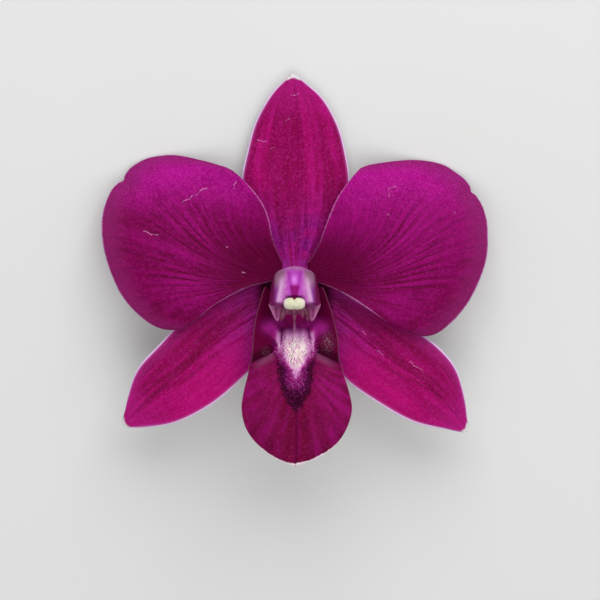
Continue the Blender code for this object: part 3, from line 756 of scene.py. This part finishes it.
def lip_material():
    g = Velvet("lip_velvet")
    vein, reach, rim, along, crest = map(g.attribute, ("vein", "reach", "rim", "along", "crest"))
    rib, rib_share, flank = map(g.attribute, ("rib", "rib_share", "flank"))
    streak = g.streaks((vein, 22.0), (reach, 0.14), 0.0, 2.0, 0.5)
    lines = g.streaks((vein, 44.0), (reach, 0.30), 3.0)
    hairs = g.streaks(("x", 5.0), ("y", 1.0), 0.0, 3.0, 0.6)
    ribs = g.streaks(("across", 9.0), (along, 3.0))
    patch = g.noise(0.33, None, 2.0)
    pale = g.layers(
        g.mix(crest, (176, 36, 162), (232, 146, 220)),
        ("cream", (248, 240, 230)),
        (g.times(g.span(hairs, 0.52, 0.40), "hair"), (130, 40, 116)))
    uneven = g.math("ADD", g.span(patch, 0.38, 0.62, 0.20, 0.38), g.span(g.mottle, 0.35, 0.65, 0.02, 0.14))
    width = g.math("ADD", 0.14, g.times(g.span(along, 0.80, 0.92), uneven))
    pale_rim = g.times(g.span(rim, width, g.times(width, 0.5)), g.span(along, 0.45, 0.88, 0.04, 1.0))
    front = g.layers(
        g.mix(flank, (112, 4, 54), (123, 8, 71)),
        (g.times(g.span(patch, 0.48, 0.64), flank), (140, 9, 92)),
        (g.span(streak, 0.50, 0.64, 0.0, 0.25), (142, 12, 98)),
        (g.span(streak, 0.50, 0.38, 0.0, 0.25), (84, 0, 38)),
        (g.times(g.span(rib, 0.1, 1.0, 0.0, 0.42), rib_share), (156, 14, 116)),
        (g.times(g.span(rib, -0.2, -1.0, 0.0, 0.32), rib_share), (84, 0, 38)),
        (g.span(lines, 0.48, 0.36, 0.0, 0.3), (80, 0, 38)),
        (g.span(g.mottle, 0.52, 0.68, 0.0, 0.30), (152, 24, 108)),
        (g.span(g.grain, 0.56, 0.72, 0.0, 0.16), (196, 96, 160)),
        # Dark line down the middle of the mid-lobe: painted shade of its midline groove
        ("spine", (84, 0, 40)),
        ("side", (94, 2, 50)),
        (g.times("shade", 0.7), (48, 0, 22)),
        # Greyish mauve strip below each side lobe's fold: painted light
        ("lit_wedge", (130, 58, 98)),
        ("throat", (188, 40, 150)),
        (g.times("lit", 0.9), (212, 48, 178)),
        (g.times("glint", g.span(g.grain, 0.50, 0.62)), (168, 132, 150)),
        ("fuzz", (56, 2, 28)),
        ("fringe", (178, 16, 142)),
        (g.span(crest, 0.0, 0.45), pale),
        (g.times("keel", 0.85), (240, 166, 226)),
        ("gap", (96, 10, 76)),
        (pale_rim, (250, 226, 240)))
    reverse = g.layers(
        g.mix(g.span(ribs, 0.35, 0.7), (140, 34, 106), (168, 70, 140)),
        (g.span(rim, 0.7, 0.1), (108, 12, 66)))
    return g.two_sided(front, reverse, 0.06)


def papilla_material():
    g = Graph("lip_papillae")
    tone = g.attribute("tone")
    colour = g.layers(
        g.mix(g.span(tone, 0.0, 0.35), (70, 2, 34), (196, 24, 158)),
        (g.span(tone, 0.35, 0.7), (238, 170, 228)),
        (g.span(tone, 0.7, 1.0), (255, 248, 238)),
        (g.times("tip", 0.05), (232, 150, 226)))
    return g.finish(colour, 0.4, 0.03)


def column_material():
    g = Graph("column_skin")
    fine = g.noise(1.6, None, 3.0)
    body = g.layers(
        g.mix(g.span(fine, 0.40, 0.65), (176, 86, 168), (190, 110, 184)),
        # Greyish green on the dome's upper sides: its translucent colour with painted shade where the dome
        # turns away
        ("green", (136, 96, 116)),
        ("stripe", (202, 150, 196)),
        ("purple", (118, 24, 128)),
        ("wing", (96, 8, 62)),
        ("petal_tint", (176, 66, 178)),
        ("rim", (186, 126, 176)),
        ("line", (148, 30, 148)),
        # Pale teardrop on the central ridge: its pale colour with a painted highlight
        ("drop", (218, 124, 224)),
        ("spot", (134, 2, 104)),
        # Painted shadow round the anther cap
        ("groove", (88, 14, 70)),
        ("tooth", (106, 28, 74)),
        ("brow", (112, 22, 84)),
        ("edge", (190, 116, 164)))
    back = g.mix("tooth", (112, 2, 76), (120, 48, 90))
    return g.finish(g.mix("behind", body, back), 0.5, 0.08, fine, 0.03)


def stigma_material():
    g = Graph("stigma_skin")
    fine = g.noise(1.6, g.place(g.times("x", 1.5), g.times("y", 0.5)))
    return g.finish(g.mix(g.span(fine, 0.35, 0.65), (112, 34, 76), (142, 72, 104)), 0.3, 0.4)


def filament_material():
    g = Graph("filament_skin")
    return g.finish(g.mix(g.span("down", 0.3, 1.0), (116, 44, 80), (190, 120, 176)), 0.35, 0.3)


def anther_material():
    g = Graph("anther_cream")
    fine = g.noise(2.0, None, 3.0)
    colour = g.mix(g.span(fine, 0.35, 0.7), (208, 207, 174), (228, 227, 202))
    colour = g.mix(g.span("end", 0.5, 0.95), colour, (232, 216, 212))
    g.shader.inputs["Subsurface Weight"].default_value = 0.15
    g.shader.inputs["Subsurface Scale"].default_value = MM
    return g.finish(colour, 0.5, 0.3, fine, 0.04)


def mentum_material():
    g = Graph("mentum_skin")
    down = g.attribute("down")
    fine = g.noise(0.8, None, 3.0)
    pale = g.mix(g.span(fine, 0.35, 0.7), (222, 230, 216), (240, 243, 236))
    facing = g.math("ADD", "front", g.span(down, 0.25, 0.1, 0.0, 0.6))
    inside = g.times(g.span(facing, 0.1, 0.5), g.span(down, 0.60, 0.48))
    return g.finish(g.mix(inside, pale, (184, 16, 124)), 0.5, 0.05, fine, 0.03)


def pedicel_material():
    g = Graph("pedicel_skin")
    fine = g.noise(0.9, None, 4.0)
    colour = g.mix(g.span(fine, 0.3, 0.7), (196, 213, 168), (216, 229, 196))
    colour = g.mix(g.span("down", 0.993, 0.999), colour, (168, 186, 124))
    return g.finish(colour, 0.42, 0.3, fine, 0.04)


def make_tepals():
    sepal, petal = sepal_material(), petal_material()
    outline = fill_outline(DORSAL_BASE, DORSAL_TIP, DORSAL_LEFT, DORSAL_RIGHT, SEPAL_GRID)
    tepal("dorsal_sepal", "sepal", outline, dorsal_depth, SEPAL_RELIEF, sepal, 11, DORSAL_SCRATCHES)
    for name, edges, seed, scratches, markings_and_light in (("petal_left", PETAL_LEFT, 21, LEFT_SCRATCHES, 0.0),
                                                ("petal_right", PETAL_RIGHT, 31, RIGHT_SCRATCHES, 1.0)):
        upper, lower = edges["upper"], edges["lower"]
        outline = fill_outline([upper[0], lower[0]], edges["margin"], upper, lower, PETAL_GRID, True)
        tepal(name, "petal", outline, petal_depth, PETAL_RELIEF, petal, seed, scratches, markings_and_light)
    for name, edges, seed in (("lateral_sepal_left", LATERAL_LEFT, 41),
                              ("lateral_sepal_right", LATERAL_RIGHT, 51)):
        outline = fill_outline(edges["base"], edges["tip"], edges["upper"], edges["lower"], SEPAL_GRID)
        tepal(name, "sepal", outline, lateral_depth, SEPAL_RELIEF, sepal, seed, LATERAL_SCRATCHES, 1.0)


def crest_half_width(y):
    return CREST_HALF_WIDTH * np.minimum((y - CREST_POINT_Y) / (CREST_SHOULDER_Y - CREST_POINT_Y), 1)


def crest_margin(x, y):
    """Return how far outside the outline of the pale crest each point lies, in millimetres."""
    return np.abs(x - CREST_MIDDLE_X) - crest_half_width(y)


def fuzz_edge(x, y):
    """Return how far each point lies from the middle of the fuzzy patch, where 1 is its edge."""
    share = np.clip((FUZZ_TOP_Y - y) / (FUZZ_TOP_Y - FUZZ_END_Y), 0, 1)
    return np.abs(x - CREST_MIDDLE_X) / (FUZZ_HALF_WIDTH * (1 - share**3) ** 0.8 + 1e-3)


def lip_masks(x, y):
    """Return the shares of each marking at points of the lip's front, and of the painted light and shade: the
    fold's shadow and the lit strip below it, the lit patches, the glints and the dark midline.
    """
    off = np.abs(x)
    aside = np.abs(x - CREST_MIDDLE_X)
    fold = FOLD_Y - FOLD_SLOPE * (off - FOLD_X)
    mouth = CREST_TOP_Y - 0.6 + 0.14 * x**2
    low = step(y, CREST_TOP_Y - 2.5, CREST_TOP_Y - 4.5)
    ragged = soft_noise((y + 40) / 50 % 1, (x + 12) / 24, (170, 90), 64) * 0.16 * low
    margin, fuzz = crest_margin(x, y) + ragged, fuzz_edge(x, y) + ragged * 0.6
    inner = (aside + ragged) / np.maximum(crest_half_width(y), 0.3)
    beside = step(margin, 1.6, 0.3) * step(y, CREST_TOP_Y - 1.5, CREST_TOP_Y - 4.0) * step(y, -19.0, -17.0)
    under = step(fuzz, 0.85, 0.15) * step(y, -15.5, -17.5) * step(y, -22.5, -19.0)
    lit = blob(off, y, (4.5, -10.3), (1.4, 1.2)) + blob(off, y, (3.5, -11.6), (0.7, 1.2))
    ridge = aside - KEEL_X - 0.16 * (y + 12.5) - 0.12 * np.sin(y * 3.1 + x)
    return {
        "side": step(y, fold - 0.1, fold + 0.1) * step(off, 2.6, 3.4),
        "shade": step(off, 3.5, 4.2) * step(y, fold - 0.15, fold + 0.15) * step(y, fold + 2.0, fold + 0.8),
        # Painted light: the greyish lit strip below each side lobe's fold
        "lit_wedge": (step(off, 3.2, 4.4) * step(off, 8.2, 5.5) * step(y, fold, fold - 0.3)
                  * step(y, fold - 2.3, fold - 0.8)),
        "throat": step(y, mouth - 0.8, mouth + 0.8) * step(off, 4.6, 3.6),
        "lit": np.clip(0.8 * lit, 0, 1),
        "glint": 0.7 * blob(x, y, (6.0, -13.0), (0.9, 1.4)) + 0.35 * blob(x, y, (-5.4, -14.6), (0.7, 0.6)),
        "fuzz": step(fuzz, 1.15, 0.7) * step(y, FUZZ_TOP_Y + 0.2, FUZZ_TOP_Y - 2.6),
        "fringe": np.maximum(beside, under),
        "crest": (step(inner, 1.15, 0.6) * step(y, CREST_TOP_Y + 0.6, CREST_TOP_Y - 2.2)
                  * step(y, -19.6, -18.6)),
        "cream": (step(inner, 1.0, 0.25) * step(y, CREST_TOP_Y - 0.8, CREST_TOP_Y - 3.8)
                  * step(y, -18.8, -16.0)),
        "hair": 0.25 + 0.75 * step(inner, 0.4, 0.9),
        "keel": (np.exp(-(ridge / 0.34) ** 2) * step(y, CREST_TOP_Y + 0.1, CREST_TOP_Y - 1.2)
                 * step(y, -15.4, -13.4)),
        "gap": (np.exp(-((aside - GAP_X) / GAP_WIDTH) ** 2) * step(y, -15.0, -13.2)
                * step(y, CREST_TOP_Y + 0.6, CREST_TOP_Y - 0.4)),
        "flank": step(off, 1.0, 6.0) * step(y, -34.5, -30.0),
        # Painted shade of the mid-lobe's midline groove
        "spine": 0.7 * np.exp(-((x - 0.3) / 0.35) ** 2) * step(y, -22.0, -25.0),
    }


def make_lip():
    net = []
    for (mid_y, mid_z), (fold_x, fold_y, fold_z), (left_x, right_x, edge_y, edge_z) in LIP_ROWS:
        net.append([(left_x, edge_y, edge_z), (-fold_x, fold_y, fold_z), (0, mid_y, mid_z),
                    (fold_x, fold_y, fold_z), (right_x, edge_y, edge_z)])
    v_places, u_places = spaced(LIP_GRID[0], 0.04), spaced(LIP_GRID[1], 0.06)
    net = smooth_rows(np.array(net).reshape(len(net), -1), v_places).reshape(-1, 5, 3)
    middle = np.array([smooth_through(row, u_places) for row in net])
    x, y = middle[..., 0], middle[..., 1]
    inner = np.clip(edge_distances(middle)[0] / 2.0, 0, 1)
    vein = np.arctan2(x, VEIN_SOURCE_Y - y) / math.pi
    reach = np.hypot(x, y - VEIN_SOURCE_Y)
    lobe = step(reach, 3.0, 8.0)
    vein_noise = lambda cells, seed: soft_noise(reach / VEIN_REACH, (vein + 1) / 2, cells, seed)
    rib = np.cos(2 * math.pi * (LIP_RIBS * vein + 0.5 * vein_noise((4, 12), 61)))
    veins = (0.05 * rib + vein_noise((5, 16), 62) * 0.07) * lobe
    rib_share = (0.5 + 0.5 * vein_noise((4, 30), 63)) * lobe
    off = np.abs(x)
    fold = FOLD_Y - FOLD_SLOPE * (off - FOLD_X)
    crease = (FOLD_LIFT * step(off, 3.4, 5.0) * step(y, fold - 0.1, fold + 0.35)
              * step(y, fold + 4.5, fold + 0.4))
    middle = middle + grid_normals(middle) * (veins * inner + crease)[..., None]
    front, back = thicken(middle, LIP_THICKNESS, LIP_EDGE_RADIUS)
    x, y = middle[..., 0], middle[..., 1]
    masks = lip_masks(x, y)
    keels = CREST_HEIGHT * step(crest_margin(x, y), 0.3, -2.6) * step(y, CREST_TOP_Y + 1.2, CREST_TOP_Y - 1.5)
    keels *= 1 + 0.3 * np.cos(x * 2 * math.pi / KEEL_SPACING)
    front = front + grid_normals(middle) * keels[..., None]
    attributes = {"along": v_places[:, None], "across": 2 * u_places - 1, "rim": outline_distances(middle),
                  "vein": vein, "reach": reach, "rib": rib, "rib_share": rib_share, "x": x, "y": y, **masks}
    seat(add_blade("lip", front, back, lip_material(), attributes), "lip", "lip")
    make_papillae(front, masks)


def make_papillae(front, masks):
    """Cover the crest and the dark patch below it with small hairs that lean down the lip."""
    random = np.random.default_rng(71)
    normals = grid_normals(front)
    rows, columns = front.shape[:2]
    sides = PAPILLA_SIDES
    turns = np.linspace(0, 2 * math.pi, sides, endpoint=False)
    points, faces, tones, tips = [], [], [], []
    planted = 0
    while planted < PAPILLA_COUNT:
        r, c = random.integers(2, rows - 2), random.integers(2, columns - 2)
        names = ("crest", "fuzz", "fringe", "cream", "keel")
        crest, fuzz, fringe, cream, keel = (masks[name][r, c] for name in names)
        low = step(front[r, c, 1], CREST_TOP_Y - 2.0, CREST_TOP_Y - 6.0)
        if random.random() > max(fuzz, crest * 0.9 * low, fringe):
            continue
        planted += 1
        down, over = random.random(2)
        place = front[r, c] + down * (front[r + 1, c] - front[r, c]) + over * (front[r, c + 1] - front[r, c])
        normal = normals[r, c]
        crest = max(crest, keel * 0.8)
        tone = 0.38 * fringe**0.6 * (1 - crest) + crest * (0.62 + 0.40 * max(cream, keel))
        tone += random.normal(0, 0.06) + 0.3 * (random.random() < 0.16 * (1 - crest))
        tone = np.clip(tone - 0.5 * (random.random() < 0.22 * crest), 0, 1)
        lean = np.array([place[0] * 0.12 + random.normal(0, 0.25), -1.0, 0.0])
        axis = normal * (0.9 - 0.6 * crest) + lean * (0.4 + 0.6 * crest)
        axis /= np.linalg.norm(axis)
        side = np.cross(axis, normal + (0.01, 0.0, 0.0))
        side /= np.linalg.norm(side)
        across = np.cross(axis, side)
        length = PAPILLA_LENGTH * random.uniform(0.7, 1.3) * (1 + 0.4 * crest)
        radius = PAPILLA_RADIUS * random.uniform(0.8, 1.2)
        first = len(points)
        for share, width in PAPILLA_RINGS:
            for turn in turns:
                ring = (side * math.cos(turn) + across * math.sin(turn)) * radius * width
                points.append(place + axis * length * share + ring)
        points.append(place + axis * length)
        tips += [max(share, 0) for share, _ in PAPILLA_RINGS for _ in turns] + [1.0]
        tones += [tone] * (len(points) - first)
        for s in range(sides):
            a, b = first + s, first + (s + 1) % sides
            faces += [(a, b, b + sides, a + sides), (a + sides, b + sides, b + 2 * sides, a + 2 * sides),
                      (a + 2 * sides, b + 2 * sides, first + 3 * sides)]
        faces.append(tuple(first + sides - 1 - s for s in range(sides)))
    values = {"tone": tones, "tip": tips}
    piece = add_mesh("lip_papillae", np.array(points), faces, papilla_material(), values)
    seat(piece, "lip")


def column_masks(x, y):
    """Return the shares of each marking at points of the column, seen from the front, with the painted
    highlight on its ridge, the painted shade on its upper sides and the painted shadow round the anther cap.
    """
    x = x - COLUMN_MIDDLE_X
    off = np.abs(x)
    stripe = STRIPE_X - STRIPE_SLOPE * y
    line = 1.15 - 0.20 * np.clip(-0.4 - y, 0, 4)
    spot = 0.85 - 0.17 * np.clip(-2.9 - y, 0, 4)
    pill = ((off / GROOVE_RADII[0]) ** 3 + (np.abs(y - ANTHER_CENTRE[1]) / GROOVE_RADII[1]) ** 3) ** (1 / 3)
    return {
        # Greyish green on the dome's upper sides: translucent colour with painted shade
        "green": 0.9 * step(off, stripe - 0.7, stripe + 0.2) * step(y, 0.6, -0.6) * step(y, -4.6, -2.4),
        "stripe": np.exp(-((off - stripe) / 0.52) ** 2) * step(y, -0.4, -2.6) * step(y, -7.6, -6.4),
        "purple": 0.85 * step(off, stripe, stripe + 0.6) * step(y, -1.8, -3.8) * step(y, -7.4, -6.4),
        "wing": step(off, 3.15, 3.95) * step(y, 0.6, -0.4),
        "rim": 0.85 * step(y, 0.05, 0.5),
        "petal_tint": step(off, 1.75, 0.95) * step(y, 0.3, -0.5),
        "brow": 0.8 * step(off, 1.9, 2.5) * step(y, -5.4, -6.2),
        "line": 0.7 * np.exp(-((off - line) / 0.20) ** 2) * step(y, 0.3, -0.5) * step(y, -3.6, -2.8),
        # Pale teardrop on the central ridge: its pale colour with a painted highlight
        "drop": blob(x, y, (-0.05, -1.75), (0.42, 0.8)),
        "spot": step(off, spot + 0.22, spot - 0.12) * step(y, -2.4, -3.1),
        # Dark round the anther cap: painted shadow in the notch it sits in
        "groove": 0.8 * step(pill, 1.06, 0.97) * step(y, -7.2, -6.4),
    }


def make_column():
    v_places, share = np.linspace(0, 1, COLUMN_GRID[0]), np.linspace(-1, 1, COLUMN_GRID[1])
    table = smooth_rows(COLUMN_ROWS, v_places)
    forward = np.gradient(table[:, :2], axis=0)
    forward[0] = (0.0, 1.0)
    forward /= np.linalg.norm(forward, axis=1, keepdims=True)
    turn = share * COLUMN_SWEEP
    tooth = COLUMN_TOOTH * np.exp(-((np.abs(turn) - COLUMN_TOOTH_AT) / COLUMN_TOOTH_SPREAD) ** 2)
    brow = COLUMN_BROW * step(np.abs(turn), COLUMN_BROW_FROM, COLUMN_BROW_TO)
    outer, inner = np.zeros((*COLUMN_GRID, 3)), np.zeros((*COLUMN_GRID, 3))
    for r, (y, z, half_width, height, depth, hollow) in enumerate(table):
        out_y, out_z = forward[r][1], -forward[r][0]
        reach = (tooth + brow) * v_places[r] ** 6
        wing = depth / -math.cos(COLUMN_SWEEP)
        upper = height * np.abs(np.cos(turn)) ** COLUMN_FLATNESS
        lift = np.where(np.abs(turn) < math.pi / 2, upper, wing * np.cos(turn))
        under = -depth + hollow * (1 - share**2)
        inside = half_width * math.sin(COLUMN_SWEEP) - WING_THICKNESS
        for grid, x, rise in ((outer, half_width * np.sin(turn), lift), (inner, inside * share, under)):
            grid[r, :, 0] = x + COLUMN_MIDDLE_X
            grid[r, :, 1] = y + out_y * rise + forward[r][0] * reach
            grid[r, :, 2] = z + out_z * rise + forward[r][1] * reach
    middle = (outer + inner) / 2
    from_end = np.clip((1 - v_places[:, None]) / COLUMN_RIM, 0, 1)
    from_side = np.clip((1 - np.abs(share)) / COLUMN_RIM, 0, 1)
    full = (np.sqrt(1 - (1 - from_end)**2) * np.sqrt(1 - (1 - from_side)**2))[..., None]
    full[0] = 0
    outer, inner = middle + (outer - middle) * full, middle + (inner - middle) * full
    x, y = outer[..., 0], outer[..., 1]
    masks = column_masks(x, y)
    jut = (tooth[None, :] / COLUMN_TOOTH) * step(v_places[:, None], 0.80, 0.97)
    masks["tooth"] = np.maximum(step(jut, 0.1, 0.5), step(y, -6.3, -7.2) * step(np.abs(x), 2.1, 2.6))
    slant = TOOTH_EDGE_X + TOOTH_EDGE_SLOPE * (y - TOOTH_EDGE_Y)
    masks["edge"] = (step(np.abs(x - COLUMN_MIDDLE_X), slant - 0.3, slant - 0.05)
                     * step(y, TOOTH_EDGE_Y, TOOTH_EDGE_Y - 0.3))
    seat(add_blade("column", outer, inner, column_material(), masks), "column", "column")


def make_stigma():
    """Make the arched plate under the anther cap, and the fine thread that hangs from it."""
    x = np.linspace(-STIGMA_HALF_WIDTH, STIGMA_HALF_WIDTH, STIGMA_GRID[1])
    lower = np.full(x.shape, STIGMA_ARCH_Y)
    for centre, reach, width in STIGMA_FEET:
        lower -= reach * np.exp(-((x - centre) / width) ** 2)
    down = np.linspace(0, 1, STIGMA_GRID[0])[:, None]
    middle = np.zeros((*STIGMA_GRID, 3))
    middle[..., 0] = x + COLUMN_MIDDLE_X
    middle[..., 1] = STIGMA_TOP_Y + (lower - STIGMA_TOP_Y) * down
    middle[..., 2] = STIGMA_Z - 0.09 * x**2 - 1.2 * down**2
    front, back = thicken(middle, STIGMA_THICKNESS, STIGMA_THICKNESS / 2)
    places = {"x": middle[..., 0], "y": middle[..., 1]}
    seat(add_blade("stigma", front, back, stigma_material(), places), "column")
    thread = smooth_rows(THREAD_ROWS, np.linspace(0, 1, TUBE_GRID[0]))
    seat(tube("stigma_thread", thread[:, :3], thread[:, 3], thread[:, 3], filament_material()), "column")


def ring_faces(rows, columns):
    """Return the faces of a closed row of rings. The middles of its two ends come after the rings' points."""
    faces = []
    for r in range(rows - 1):
        for c in range(columns):
            a, b = r * columns + c, r * columns + (c + 1) % columns
            faces.append((a, b, b + columns, a + columns))
    last, ends = (rows - 1) * columns, rows * columns
    for c in range(columns):
        d = (c + 1) % columns
        faces += [(ends, d, c), (ends + 1, last + c, last + d)]
    return faces


def make_anther_cap():
    rings, turns = ANTHER_GRID
    lean = np.array(Matrix.Rotation(ANTHER_LEAN, 3, "X"))
    angle = np.linspace(0, 2 * math.pi, turns, endpoint=False)[None, :]
    tilt = np.linspace(0, math.pi, rings)[1:-1, None]
    x, y, z = np.cos(tilt) + 0 * angle, np.sin(tilt) * np.cos(angle), np.sin(tilt) * np.sin(angle)
    points = np.vstack([np.stack([x, y, z], -1).reshape(-1, 3), (1, 0, 0), (-1, 0, 0)])
    girth = np.linalg.norm(points[:, 1:], axis=1)
    points /= ((np.abs(points[:, 0]) ** 3 + girth**3) ** (1 / 3))[:, None]
    end = np.abs(points[:, 0])
    notch = np.where(points[:, 1] > 0, ANTHER_NOTCH, ANTHER_NOTCH / 4)
    points[:, 1:] *= (1 - notch * np.exp(-((points[:, 0] / ANTHER_NOTCH_WIDTH) ** 2)))[:, None]
    points = (points * ANTHER_RADII) @ lean.T + ANTHER_CENTRE
    faces = ring_faces(rings - 2, turns)
    seat(add_mesh("anther_cap", points, faces, anther_material(), {"end": end}), "anther", "anther_cap")


def tube(name, centres, across, through, finish, ribs=0.0):
    """Make a closed tube of oval rings. Its front attribute says how far its outward side faces +Z."""
    along = np.gradient(centres, axis=0)
    along /= np.linalg.norm(along, axis=1, keepdims=True)
    side = np.array([(1.0, 0.0, 0.0)]) - along * along[:, :1]
    side /= np.linalg.norm(side, axis=1, keepdims=True)
    up = np.cross(side, along)
    rows, columns = len(centres), TUBE_GRID[1]
    angles = np.linspace(0, 2 * math.pi, columns, endpoint=False)
    ridge = 1 + ribs * np.cos(angles * PEDICEL_RIBS)
    ring = (side[:, None] * (across[:, None] * np.cos(angles) * ridge)[..., None]
            + up[:, None] * (through[:, None] * np.sin(angles) * ridge)[..., None])
    vertices = np.vstack([(centres[:, None] + ring).reshape(-1, 3), centres[:1], centres[-1:]])
    front = up[:, 2:] * np.sin(angles)
    down = np.repeat(np.linspace(0, 1, rows), columns)
    attributes = {"front": np.append(front, (0, 0)), "down": np.append(down, (0, 1))}
    return add_mesh(name, vertices, ring_faces(rows, columns), finish, attributes)


def make_stalk():
    places = np.linspace(0, 1, TUBE_GRID[0])
    table = smooth_rows(MENTUM_ROWS, places)
    centres = np.column_stack([np.zeros(len(table)), table[:, :2]])
    seat(tube("mentum", centres, table[:, 2], table[:, 3], mentum_material()), "mentum", "mentum")
    table = smooth_rows([(*centre, radius) for centre, radius in PEDICEL_ROWS], places)
    piece = tube("pedicel", table[:, :3], table[:, 3], table[:, 3], pedicel_material(), PEDICEL_RIB_HEIGHT)
    seat(piece, "pedicel", "pedicel")


def make_studio():
    g = Graph("floor_paint")
    g.finish(g.mix(g.noise(0.01, None, 2.0), *FLOOR_COLOURS), 0.8, 0.5)
    mesh = bpy.data.meshes.new("floor")
    corners = [(x * FLOOR_REACH, y * FLOOR_REACH, 0) for x, y in ((-1, -1), (1, -1), (1, 1), (-1, 1))]
    mesh.from_pydata(corners, [], [(0, 1, 2, 3)])
    mesh.materials.append(g.material)
    floor = add_object("floor", mesh)
    for name, direction, power in LAMPS:
        light = bpy.data.lights.new(name, "AREA")
        light.energy = power
        light.size = LAMP_SIZE
        lamp = add_object(name, light)
        away = (BLOOM_TURN @ Vector(direction)).normalized()
        lamp.location = away * LAMP_DISTANCE
        lamp.rotation_euler = away.to_track_quat("Z", "Y").to_euler()
    world = bpy.data.worlds.new("studio")
    world.use_nodes = True
    world.node_tree.nodes["Background"].inputs[0].default_value = (1.0, 1.0, 1.0, 1)
    world.node_tree.nodes["Background"].inputs[1].default_value = SKY_STRENGTH
    bpy.context.scene.world = world
    bpy.context.scene.view_settings.view_transform = "Standard"


def make_camera():
    lens = bpy.data.cameras.new("camera")
    lens.sensor_width = 36.0
    lens.lens = lens.sensor_width * CAMERA_DISTANCE / PICTURE_WIDTH
    lens.clip_start = 0.01
    camera = add_object("camera", lens)
    away = Vector(CAMERA_AIM) + Vector((0, 0, CAMERA_DISTANCE))
    camera.matrix_world = Matrix.Translation(BLOOM @ away) @ BLOOM_TURN
    bpy.context.scene.camera = camera


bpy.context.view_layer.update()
make_camera()
make_studio()
make_tepals()
make_lip()
make_column()
make_stigma()
make_anther_cap()
make_stalk()
